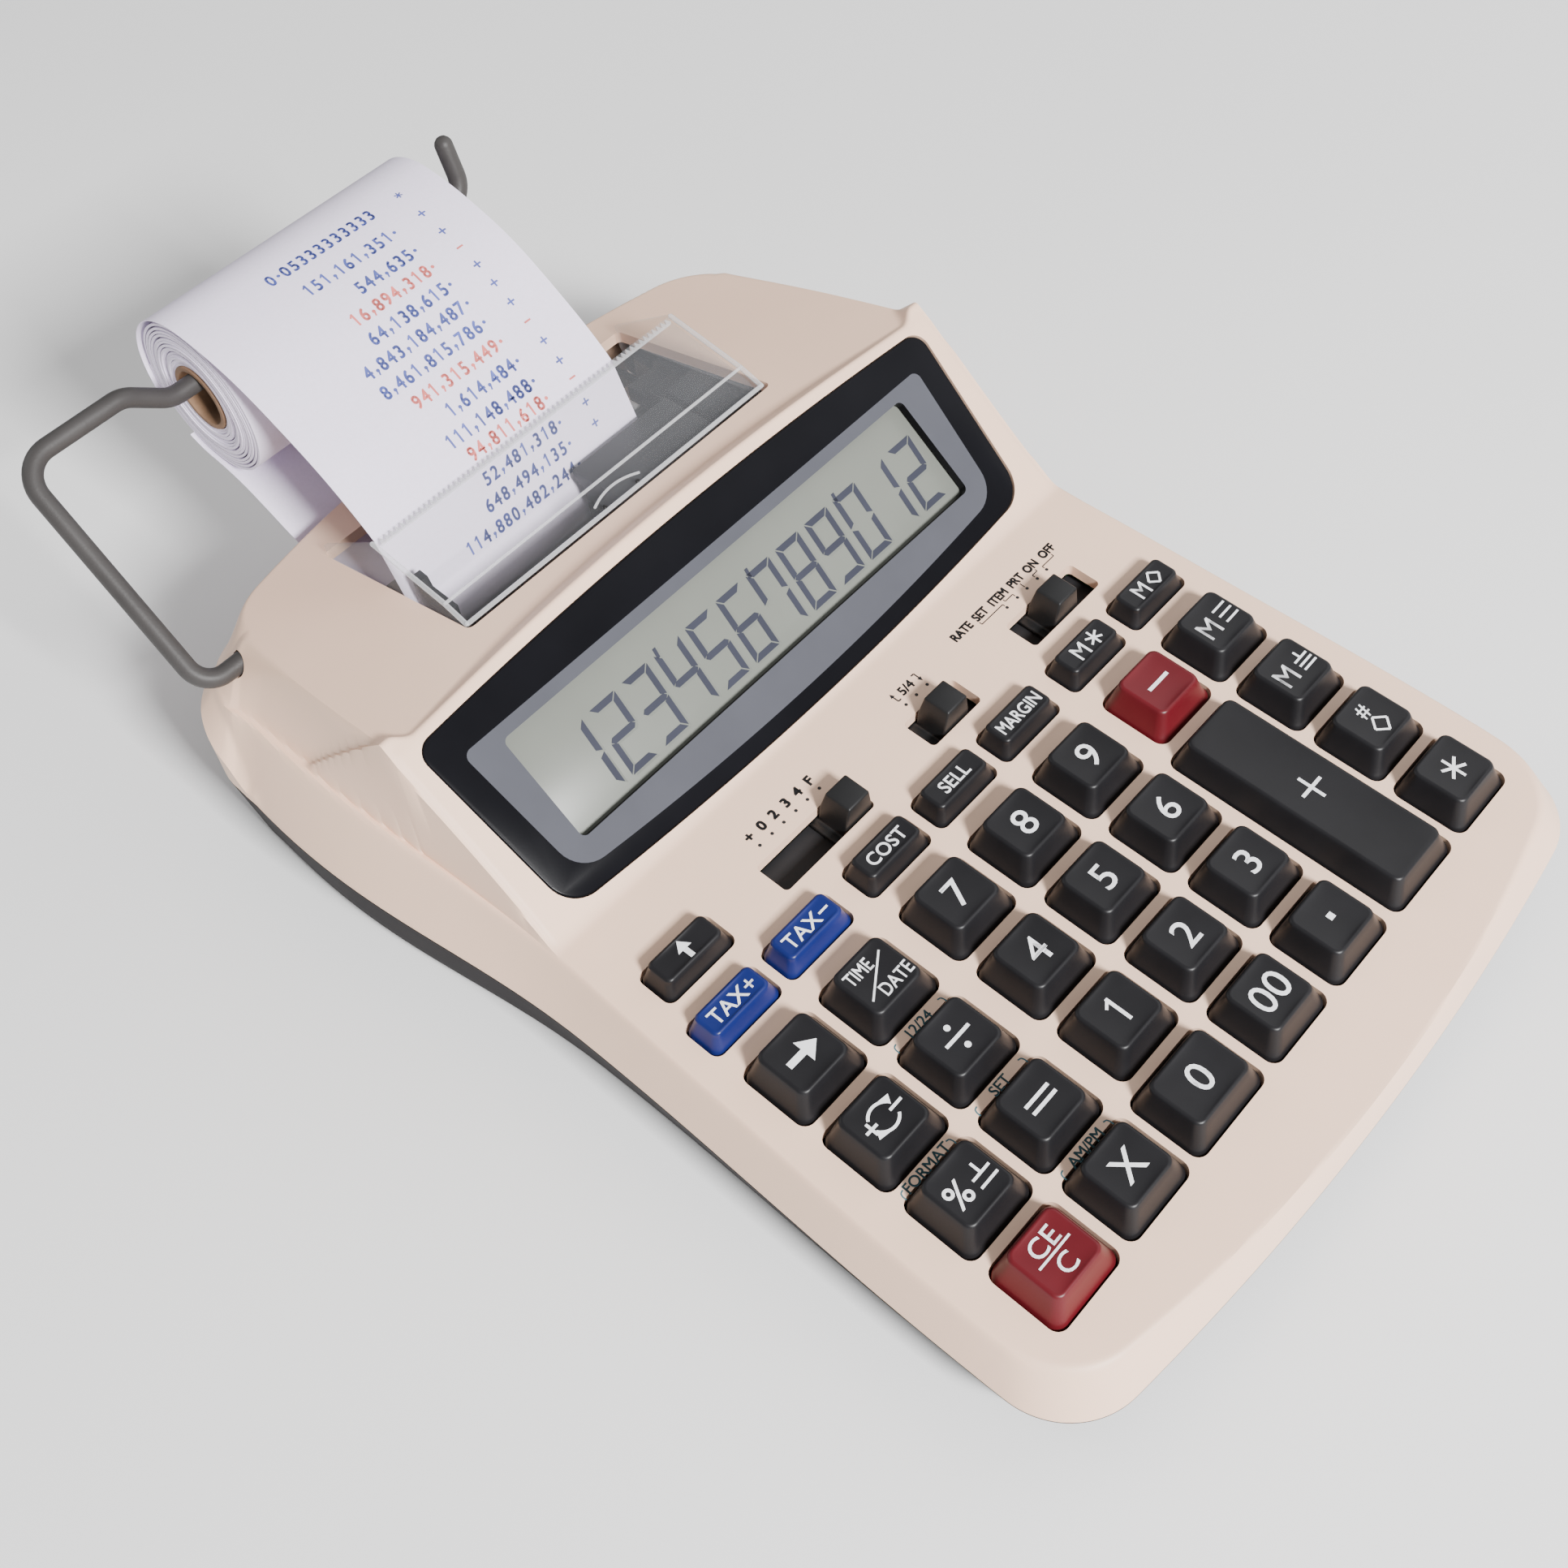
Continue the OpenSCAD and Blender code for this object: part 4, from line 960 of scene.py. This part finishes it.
# ---- deck markings -----------------------------------------------------------
def deck_mark(p):
    return on_deck(p[:, 0], p[:, 1], np.full(len(p), 0.03))


marks = Ink()
DECIMALS = (-29.3, -26.3, -23.4, -20.4, -17.5, -14.5)
for x in (*DECIMALS, 8.2, 11.0, 13.9, 36.4, 39.4, 42.2, 45.2, 48.0):
    marks.dot(x, 47.4, 0.32)
for x, word in zip(DECIMALS, "+0234F"):
    marks.text(word, 1.85, x, 49.8, 1.1, 0.045)
marks.text("5/4", 1.8, 11.0, 49.8, 1.05, 0.028)
for x, side, turn, neck, tip in ((7.9, 0.7, 48.8, 50.0, 50.9), (14.1, -0.7, 50.6, 49.4, 48.5)):
    marks.bar(x, 48.8, x, 50.6, 0.28).bar(x, turn, x + side, turn, 0.28)
    marks.poly([(x - 0.45, neck), (x + 0.45, neck), (x, tip)])
for word, x in (("RATE", 26.9), ("SET", 32.1), ("ITEM", 37.2), ("PRT", 42.3), ("ON", 46.6), ("OFF", 51.4)):
    marks.text(word, 1.75, x, 50.15, 0.88, 0.04)
# lines from the words to the dots
for x, turn, dot in ((30.5, 48.4, 36.4), (37.3, 48.5, 39.4), (42.2, None, 42.2), (46.6, 48.5, 45.2),
                     (51.4, 48.4, 48.0)):
    corner = [(x, turn), (dot, turn)] if turn else []
    marks.path([(x, 49.0), *corner, (dot, 47.9)], 0.2)
marks.make("deck_markings", deck_mark, DARK, "case")

notes = Ink()
HOOK = ((5.0, 0.35), (5.6, 0.2), (5.8, -0.3), (5.8, -1.0))
for word, x, y in (("12/24", -37.3, 7.9), ("SET", -37.3, -7.6), ("AM/PM", -37.0, -23.2),
                   ("FORMAT", -54.7, -7.6)):
    notes.text(word, 1.8, x, y, 1.0, 0.016)
    for s in (-1, 1):
        notes.path([(x + s * dx, y + dy) for dx, dy in HOOK], 0.24)
notes.make("key_function_notes", deck_mark, TEAL, "case")


# ---- display -----------------------------------------------------------------
def band_ring():
    pts = [(t, 3.5 + 0.0009 * t * t) for t in np.linspace(-53.6, 53.6, 31)]
    pts += [(56.0, 32.5), (-56.0, 32.5)]
    return rounded(np.array(pts), {0: 6.0, 30: 6.0, 31: 1.5, 32: 1.5}, 8)


def display():
    window = round_rect(49.4, 10.1, 1.2, 6, 0, 20.1)
    lens = bevelled(prism("lens", lens_ring(0.0), -1.8, 0.0, on_panel), 0.35, 3, 50)
    carve(lens, prism("cut", window, -3, 2, on_panel))
    lens.name = "display_window"
    smooth(lens, 40)
    finish(lens, BEZEL, "case", "lens_black", "display_lens")
    # grey band printed around the window
    bm = bmesh.new()
    loops = []
    for ring in (band_ring(), window):
        vs = [bm.verts.new(Vector(on_panel(*p, 0.025)) * MM) for p in ring]
        loops += [bm.edges.new((a, b)) for a, b in zip(vs, vs[1:] + vs[:1])]
    bmesh.ops.triangle_fill(bm, use_beauty=True, edges=loops)
    band = from_bmesh("display_band", bm)
    band.data.materials.append(BAND)
    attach(band, "case")
    glass = box("display_glass", (-52.2, 8.4, -4.4), (52.2, 31.8, GLASS_Z), on_panel)
    finish(bevelled(glass, 0.25), LCD, "case", "display_glass", "lcd_panel")
    board = box("display_board", (-54.5, 7, -6.0), (54.5, 33, -4.41), on_panel)
    finish(bevelled(board, 0.2), BOARD, "case", "board_green")


SEGMENTS = {
    "0": "abcdef", "1": "bc", "2": "abged", "3": "abgcd", "4": "fgbc", "5": "afgcd", "6": "afgedc", "7": "abcf",
    "8": "abcdefg", "9": "abcdfg",
}


def seven(i, ch, right, low):
    """One seven-segment digit whose right edge is at that place."""
    w, h, t, slant, gap = 5.9, 12.6, 1.15, 0.08, 0.16
    x0, x1 = right - w, right
    mid = low + h / 2
    bars = {
        "a": ("h", x0, x1, low + h, -1), "d": ("h", x0, x1, low, 1), "g": ("m", x0, x1, mid, 0),
        "f": ("v", mid, low + h, x0, 1), "e": ("v", low, mid, x0, 1),
        "b": ("v", mid, low + h, x1, -1), "c": ("v", low, mid, x1, -1),
    }
    for s in SEGMENTS[ch]:
        kind, a, b, at, side = bars[s]
        a, b = a + gap, b - gap
        if kind == "h":
            pts = [(a, at), (b, at), (b - t, at + side * t), (a + t, at + side * t)]
        elif kind == "m":
            pts = [(a + t / 2, at + t / 2), (b - t / 2, at + t / 2), (b, at), (b - t / 2, at - t / 2),
                   (a + t / 2, at - t / 2), (a, at)]
        else:
            top_cut = t if b > mid + 1 else t / 2
            low_cut = t if a < mid - 1 else t / 2
            pts = [(at, a), (at, b), (at + side * t, b - top_cut), (at + side * t, a + low_cut)]
        i.poly([(x + slant * (y - low), y) for x, y in pts])


display()
figures = Ink()
for k, ch in enumerate("123456789012"):
    seven(figures, ch, -36.9 + 7.6 * k, 11.9)
for x in (-20.3, 2.5, 25.3):
    figures.poly([(x + 1.6, 23.6), (x + 2.3, 23.6), (x + 2.6, 25.4), (x + 1.9, 25.4)])


def on_glass(dx, dy, lift):
    return lambda p: on_panel(p[:, 0] + dx, p[:, 1] + dy, np.full(len(p), GLASS_Z + lift))


figures.make("display_shadows", on_glass(0.35, -0.45, 0.02), SHADE, "case")
figures.make("display_figures", on_glass(0, 0, 0.05), SEGMENT, "case")


# ---- softened copies of the CAD pieces ---------------------------------------
def soften(node, width, material, body, slot, segments=2):
    """The CAD piece with its edges rounded."""
    me = frame["nodes"][node].data.copy()
    weld(me, 2e-6, math.radians(1.5))
    ob = bevelled(linked(node + "_look", me), width, segments, 30)
    return finish(ob, material, body, slot, node)


def keep(node, material):
    """A CAD piece used as it is, with a better finish."""
    ob = frame["nodes"][node]
    for slot in ob.material_slots:
        slot.material = material
    if not ob.material_slots:
        ob.data.materials.append(material)


for row in (
        *((s, 0.4, SWITCH, s, "switch_black", 3) for s in ("decimal_switch", "rounding_switch", "power_switch")),
        ("printer_frame", 0.25, BLACK, "case", "printer_black"),
        ("print_carriage", 0.25, CARRIAGE, "carriage", "printer_black"),
        ("printer_cover", 0.3, CLEAR, "cover", "cover_clear"),
        ("battery_door", 0.35, GREY, "battery_door", "base_grey"),
        ("case_screws", 0.12, STEEL, "case", "screw_steel"),
        ("rubber_feet", 0.7, FOOT, "case", "foot_rubber", 4),
        ("adaptor_socket", 0.2, SWITCH, "case", "socket_black"),
        ("platen_roller", 0.12, FOOT, "platen", "platen_rubber"),
        ("motor_pinion", 0.05, NYLON, "pinion", "pinion_nylon"),
        ("printer_motor", 0.5, MOTOR, "case", "motor_steel"),
        ("print_wheel", 0.1, WHEEL, "wheel", "wheel_dark")):
    soften(*row)
keep("key_mat", RUBBER)
keep("main_board", BOARD)


def axle(node):
    """Axis in y and z, radius and two ends of a CAD piece that is round about x."""
    lo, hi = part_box(node)
    return ((lo.y + hi.y) / 2 / MM, (lo.z + hi.z) / 2 / MM), (hi.y - lo.y) / 2 / MM, lo.x / MM, hi.x / MM


def ink_roller():
    at, r, x0, x1 = axle("ink_roller")
    felt = smooth(rod_x("ink_felt", x0 + 2.3, x1 - 2.3, at, r, 48, 0.6), 35)
    finish(felt, INK, "ink", "ink_felt", "ink_roller")
    finish(rod_x("ink_axle", x0, x1, at, 1.0, 24, 0.2), CARRIAGE, "ink", "printer_black")


def battery_set():
    """Four cells, their caps to alternate ends."""
    lo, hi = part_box("batteries")
    r = 7.1
    z = (lo.z + hi.z) / 2 / MM
    profile = [(-25, 4.8), (-24.6, 6.6), (-24.2, 7.0), (-23.8, r), (23.3, r), (23.8, 6.9), (24.0, 6.2),
               (24.0, 2.9), (25.0, 2.7)]
    for k, (x, y) in enumerate([(x, y) for x in (-26.2, 26.2) for y in (lo.y / MM + r, hi.y / MM - r)]):
        turn = 1 if k % 2 else -1
        rings = [circle(0, x + turn * u, (y, z), q) for u, q in profile]
        cell = loft("battery_cell_%d" % (k + 1), rings, angle=40)
        finish(cell, WRAP, "case", "cell_wrap", *(("batteries",) if k == 0 else ()))


ink_roller()
battery_set()

plates = [slot_solid("plate", a, b, 0.8, 3.8, -4.6, -3.78) for a, b in SLOTS]
finish(smooth(join("switch_slot_plates", plates)), SLOT, "case", "switch_black")


# ---- paper roll, core and tape -----------------------------------------------
ROLL, ROLL_R, PAPER_X0, PAPER_X1 = axle("paper_roll")


def run_along(p):
    """Length of a path up to each of its points."""
    return np.r_[0, np.cumsum(np.linalg.norm(np.diff(p, axis=0), axis=1))]


def normals(p):
    """Directions square to a path in its plane."""
    d = np.gradient(p, axis=0)
    d /= np.linalg.norm(d, axis=1)[:, None]
    return np.stack([-d[:, 1], d[:, 0]], -1)


def ribbon(name, p, thick, xa, xb, wave=None):
    """Strip with thickness swept sideways between x limits, which may vary along it."""
    nrm = normals(p)
    n, cols = len(p), 9
    xa, xb = np.broadcast_to(xa, n), np.broadcast_to(xb, n)
    verts = []
    for side in (0.5, -0.5):
        for t in np.arange(cols) / (cols - 1):
            q = p + nrm * thick * side
            if wave:
                q = q + nrm * wave(np.arange(n) / (n - 1), t)[:, None]
            verts.append(np.stack([xa + (xb - xa) * t, q[:, 0], q[:, 1]], -1))
    out, back = np.arange(2 * cols * n).reshape(2, cols, n)
    faces = np.concatenate([
        quads(out[:-1, :-1], out[:-1, 1:], out[1:, 1:], out[1:, :-1]),
        quads(back[:-1, :-1], back[1:, :-1], back[1:, 1:], back[:-1, 1:]),
        quads(out[0, :-1], back[0, :-1], back[0, 1:], out[0, 1:]),
        quads(out[-1, :-1], out[-1, 1:], back[-1, 1:], back[-1, :-1]),
        quads(out[:-1, 0], out[1:, 0], back[1:, 0], back[:-1, 0]),
        quads(out[:-1, -1], back[:-1, -1], back[1:, -1], out[1:, -1])])
    return mesh(name, np.concatenate(verts), faces, 40)


def paper_roll():
    turns = 15
    n = turns * 56
    a = np.linspace(0, TURN * turns, n)
    u = np.linspace(0, 1, n)
    wound = (ROLL_R - 0.1 - CORE_R) * (0.3 * u ** 2 + 0.7 * u)
    r = CORE_R + wound + 0.10 * np.sin(a * 0.37) * np.sin(u * np.pi)
    path = np.stack([ROLL[0] + r * np.cos(a), ROLL[1] + r * np.sin(a)], -1)
    drift = 0.5 * np.sin(a * 0.21 + 0.6) * (1 - u) + 0.25 * np.sin(a * 0.083) + 0.12 * np.sin(a * 1.03)
    x0, x1 = PAPER_X0 + 0.55 + drift * 0.6, PAPER_X1 - 0.55 + drift * 0.6
    finish(ribbon("paper_roll_turns", path, 0.43, x0, x1), PAPER, "roll", "paper_white", "paper_roll")
    _, r, x0, x1 = axle("roll_core")
    rings = [circle(0, x, ROLL, q, 64) for x, q in ((x0, r), (x1, r), (x1, r - 1.0), (x0, r - 1.0))]
    core = loft("roll_tube", rings + [rings[0]], cap=False)
    weld(core.data, 1e-6)
    finish(bevelled(core, 0.15), CARD, "roll", "core_cardboard", "roll_core")


def arc(c, r, a0, a1, n):
    a = np.radians(np.linspace(a0, a1, n + 1))
    return np.stack([c[0] + r * np.cos(a), c[1] + r * np.sin(a)], -1)


def bezier(a, b, c, d, n):
    t = np.linspace(0, 1, n + 1)[1:-1, None]
    s = 1 - t
    return s ** 3 * a + 3 * s * s * t * b + 3 * s * t * t * c + t ** 3 * d


PLATEN = np.array(axle("platen_roller")[0])
TEAR = np.array([57.3, 56.4])
CORE_R = 6.45
R_OUT = ROLL_R + 0.45


def tape_paths():
    """Side view of the strip of paper: the part below the cover, then the part above it."""
    off = arc(ROLL, R_OUT, -55, -80, 10)
    slot = np.array([84.5, 38.6])
    under = arc(PLATEN, 6.95, -68, -189, 40)
    up = TEAR + np.array([0.65, -0.7])
    over = arc(ROLL, R_OUT, 98, -22, 60)
    last = off[-1]
    rise = np.linspace(under[-1], up, 22)[1:]
    dip = bezier(last, last + [-9, -2], slot + [7, 3.5], slot, 20)
    lower_part = np.concatenate([off, dip, [slot, slot - [4, 1]], under, rise])
    upper_part = np.concatenate([[up], bezier(up, up + [6, 7], over[0] + [-17, -2], over[0], 46), over])
    return lower_part, upper_part


def even_path(p, gap):
    s = run_along(p)
    t = np.linspace(0, s[-1], int(s[-1] / gap) + 1)
    return np.stack([np.interp(t, s, p[:, k]) for k in (0, 1)], -1)


def wave(u, t):
    """Curl of the loose strip: lifted edges and a faint ripple in the middle of the span."""
    loose = np.sin(np.pi * np.clip(u / 0.62, 0, 1)) ** 2
    return loose * (0.35 * (2 * t - 1) ** 2 + 0.18 * np.sin(5.2 * u * np.pi + 2.2 * t))


def paper_tape():
    below, above = (even_path(p, 0.8) for p in tape_paths())
    a = ribbon("paper_strip_lower", below, 0.14, PAPER_X0, PAPER_X1)
    b = ribbon("paper_strip_upper", above, 0.14, PAPER_X0, PAPER_X1, wave=wave)
    for ob in (a, b):
        ob.data.materials.append(PAPER)
        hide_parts("paper_tape")
    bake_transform(a)
    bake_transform(b)
    return below, above


def on_strip(path, outward, wavy):
    """Places flat print at x across and y up the strip."""
    s = run_along(path)
    nrm = normals(path) * outward

    def place(p):
        y, z, ny, nz = (np.interp(p[:, 1], s, q) for q in (*path.T, *nrm.T))
        lift = np.full(len(p), 0.115)
        if wavy:
            lift = lift + outward * wave(p[:, 1] / s[-1], (p[:, 0] - PAPER_X0) / (PAPER_X1 - PAPER_X0))
        return np.stack([p[:, 0], y + ny * lift, z + nz * lift], -1)

    return place, s[-1]


LINES = [("114,880,482,244.", ""), ("648,494,135.", "+"), ("52,481,318.", "+"), ("94,811,618.", "-"),
         ("111,148,488.", "+"), ("1,614,484.", "+"), ("941,315,449.", "-"), ("8,461,815,786.", "+"),
         ("4,843,184,487.", "+"), ("64,138,615.", "+"), ("16,894,318.", "-"), ("544,635.", "+"),
         ("151,161,351.", "+"), ("0.05333333333", "*")]
PITCH = 4.36


def print_lines(below, above):
    """Right-aligned figures, red where the sign is minus, with the sign beside them."""
    place_low, low_len = on_strip(below, 1, False)
    place_top, _ = on_strip(above, 1, True)
    inks = {(k, c): Ink() for k in ("low", "top") for c in ("blue", "red")}
    right = PAPER_X1 - 14.5
    for k, (number, sign) in enumerate(LINES):
        # height of the line above the tear-off edge; the last two stand a little apart
        v = -12.0 + PITCH * k + (0.8 if k > 11 else 0) + (1.6 if k > 12 else 0)
        part = "top" if v > -1 else "low"
        y = max(v, 1.75) if part == "top" else low_len + v
        i = inks[part, "red" if sign == "-" else "blue"]
        x = right
        for ch in number[::-1]:
            if ch in ",.":
                i.dot(x - 0.6, y - (0.6 if ch == "," else 0.1), 0.34)
                if ch == ",":
                    i.bar(x - 0.5, y - 0.7, x - 0.8, y - 1.5, 0.3)
                x -= 1.3
            else:
                i.text(ch, 2.6, x - 1.0, y, 0.84, 0.022)
                x -= 1.92
        if sign == "+":
            plus_sign(i, right + 6.0, y, 0.8, 0.34)
        elif sign == "-":
            i.bar(right + 5.3, y, right + 6.7, y, 0.34)
        elif sign == "*":
            star(i, right + 6.0, y, 0.75, 0.26)
    for (part, colour), i in inks.items():
        if not i.v:
            continue
        ob = i.make("print_%s_%s" % (part, colour), place_top if part == "top" else place_low,
                    PRINT_BLUE if colour == "blue" else PRINT_RED, None if part == "top" else "case")
        if part == "top":
            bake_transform(ob)


paper_roll()
print_lines(*paper_tape())


# ---- wire arm ----------------------------------------------------------------
def sweep(name, pts, r, n=28):
    """Round wire along points, with domed ends."""
    pts = np.asarray(pts, float)
    d = np.gradient(pts, axis=0)
    d /= np.linalg.norm(d, axis=1)[:, None]
    a = np.linspace(0, TURN, n, endpoint=False)
    u = np.cross(d[0], (0, 0.68, -0.73))
    u /= np.linalg.norm(u)
    stations = []
    for p, ahead in zip(pts, d):
        u = u - ahead * (u @ ahead)
        u /= np.linalg.norm(u)
        stations.append((p, ahead, u, np.cross(ahead, u)))

    def around(station, q, along=0.0):
        p, ahead, u, w = station
        return p + ahead * along + q * (np.cos(a)[:, None] * u + np.sin(a)[:, None] * w)

    turns = [math.radians(t) for t in (15, 35, 60, 80)]
    rings = [around(stations[0], r * math.cos(t), -0.6 * r * math.sin(t)) for t in turns[::-1]]
    rings += [around(s, r) for s in stations]
    rings += [around(stations[-1], r * math.cos(t), r * math.sin(t)) for t in turns]
    return loft(name, rings, angle=60)


def arm():
    """Wire from its hinge in the case, out and up beside the roll, and through the roll's core."""
    lo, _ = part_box("paper_arm")
    r = 1.75
    side = lo.x / MM + r
    top, axis = (102.8, 72.6), (102.1, 67.3)
    pts = np.array([(-53.6, *HINGE), (-60, *HINGE), (side, *HINGE), (side, *top), (-48.8, *top), (-41, *axis),
                    (28.3, *axis), (28.3, 104.9, 77.4)])
    out = [pts[0]]
    for before, p, after in zip(pts, pts[1:], pts[2:]):
        a, b = before - p, after - p
        la, lb = np.linalg.norm(a), np.linalg.norm(b)
        a, b = a / la, b / lb
        cosine = float(np.clip(a @ b, -1, 1))
        if cosine < -0.9999:
            out.append(p)
            continue
        half = math.acos(cosine) / 2
        back = min(6.0 / math.tan(half), 0.45 * min(la, lb))
        out += fillet(p, a, b, half, back, back * math.tan(half), 12)
    out.append(pts[-1])
    dense = [out[0]]
    for p, q in zip(out, out[1:]):
        n = max(1, int(np.linalg.norm(q - p) / 6))
        dense += [p + (q - p) * k / n for k in range(1, n + 1)]
    finish(sweep("paper_arm_wire", dense, r), ARM, "paper_arm", "arm_paint", "paper_arm")


arm()


# ---- details of the clear cover ----------------------------------------------
LIP, CREASE = np.array([35.3, 50.6]), np.array([40.5, 52.6])


# the rim beads are the cover's own shape; their whiter plastic is a painted highlight along its edges
def bead(name, pts, r):
    return finish(sweep(name, pts, r, 12), CLEAR_HIGHLIGHT, "cover", "cover_clear")


def cover_details():
    x0, x1 = OPEN_X[0] + 0.8, OPEN_X[1] - 0.8
    for name, at, r in (("cover_front_rim", LIP + [0.35, 0.1], 0.42),
                        ("cover_crease_rim", CREASE - [0, 0.12], 0.3)):
        bead(name, [(x, *at) for x in (x0, 0, x1)], r)
    line = [LIP + [0.35, 0.05], CREASE - [0, 0.1], TEAR - [0, 0.25]]
    for name, x in (("cover_rim_left", x0), ("cover_rim_right", x1)):
        pts = [(x, *line[0])]
        for p, q in zip(line, line[1:]):
            pts += [(x, *(p + (q - p) * k / 6)) for k in range(1, 7)]
        bead(name, pts, 0.45)
    slope = (CREASE - LIP) / np.linalg.norm(CREASE - LIP)
    out = np.array([-slope[1], slope[0]])
    arc_pts = [(-0.5 + 5.4 * t, *(LIP + slope * (2.1 + 1.2 * (1 - t * t)) + out * 0.1))
               for t in np.linspace(-1, 1, 17)]
    bead("cover_grip_arc", arc_pts, 0.24)
    c = LIP + slope * 1.1
    for k, x in enumerate((-4.4, 3.6)):
        rings = [[(x + q * np.cos(t), *(c + slope * q * np.sin(t) + out * h))
                  for t in np.linspace(0, TURN, 20, endpoint=False)]
                 for q, h in ((0.4, -0.1), (0.4, 0.1), (0.25, 0.22))]
        finish(loft("cover_dot_%d" % (k + 1), rings), SWITCH, "cover", "cover_clear")
    # teeth that the paper is torn against
    n = 62
    up = (TEAR - CREASE) / np.linalg.norm(TEAR - CREASE)
    nrm = np.array([-up[1], up[0]])
    base, tip = TEAR - up * 1.1 - nrm * 0.5, TEAR + up * 0.02 - nrm * 0.5
    verts, faces = [], []
    for k in range(n):
        xa, xb = x0 + 1 + (x1 - x0 - 2) * k / n, x0 + 1 + (x1 - x0 - 2) * (k + 1) / n
        i = len(verts)
        for h in (-0.35, 0.42):
            verts += [(xa, *(base + nrm * h)), (xb, *(base + nrm * h)), ((xa + xb) / 2, *(tip + nrm * h))]
        faces += [(i, i + 2, i + 1), (i + 3, i + 4, i + 5), (i, i + 1, i + 4, i + 3),
                  (i + 1, i + 2, i + 5, i + 4), (i + 2, i, i + 3, i + 5)]
    # the teeth are in the same whiter plastic, a painted highlight
    finish(mesh("cover_tear_teeth", verts, faces), CLEAR_HIGHLIGHT, "cover", "cover_clear")


cover_details()


# ---- setting and camera ------------------------------------------------------
def setting():
    s = 3.0
    floor = mesh("floor", np.array([(-s, -s, 0), (s, -s, 0), (s, s, 0), (-s, s, 0)]) * 1000, [(0, 1, 2, 3)])
    m, nt, b = node_material("floor_pale")
    surface(nt, b, texture(nt, 2.5, 3), (0.82, 0.82, 0.82), (0.86, 0.86, 0.86), 0.75, 0.9)
    floor.data.materials.append(m)
    for name, at, size, power in (("key_light", (-0.2, -1.2, 0.85), 0.28, 57.0),
                                  ("fill_light", (1.0, -0.2, 0.8), 1.2, 7.0),
                                  ("back_light", (-0.5, 1.2, 0.9), 0.9, 4.0)):
        data = bpy.data.lights.new(name, "AREA")
        data.energy, data.size = power, size
        ob = linked(name, data)
        ob.location = at
        ob.rotation_euler = (Vector((0, 0, 0.03)) - Vector(at)).to_track_quat("-Z", "Y").to_euler()
    world = bpy.data.worlds.new("soft_room")
    world.use_nodes = True
    bg = world.node_tree.nodes["Background"]
    bg.inputs["Color"].default_value = (1.0, 1.0, 1.0, 1)
    bg.inputs["Strength"].default_value = 0.4
    bpy.context.scene.world = world
    cam = bpy.data.cameras.new("camera")
    cam.sensor_width, cam.lens = 36, 43.724
    cam.shift_x, cam.shift_y = 0.00517, -0.00157
    cam.clip_start, cam.clip_end = 0.01, 20
    ob = linked("camera", cam)
    right = Vector((0.66067, -0.74597, -0.08397))
    up = Vector((0.62483, 0.48446, 0.61228))
    back = Vector((-0.41606, -0.45698, 0.78617))
    turn = Matrix((right, up, back)).transposed().to_4x4()
    ob.matrix_world = Matrix.Translation((-0.149594, -0.156580, 0.275315)) @ turn
    bpy.context.scene.camera = ob


setting()
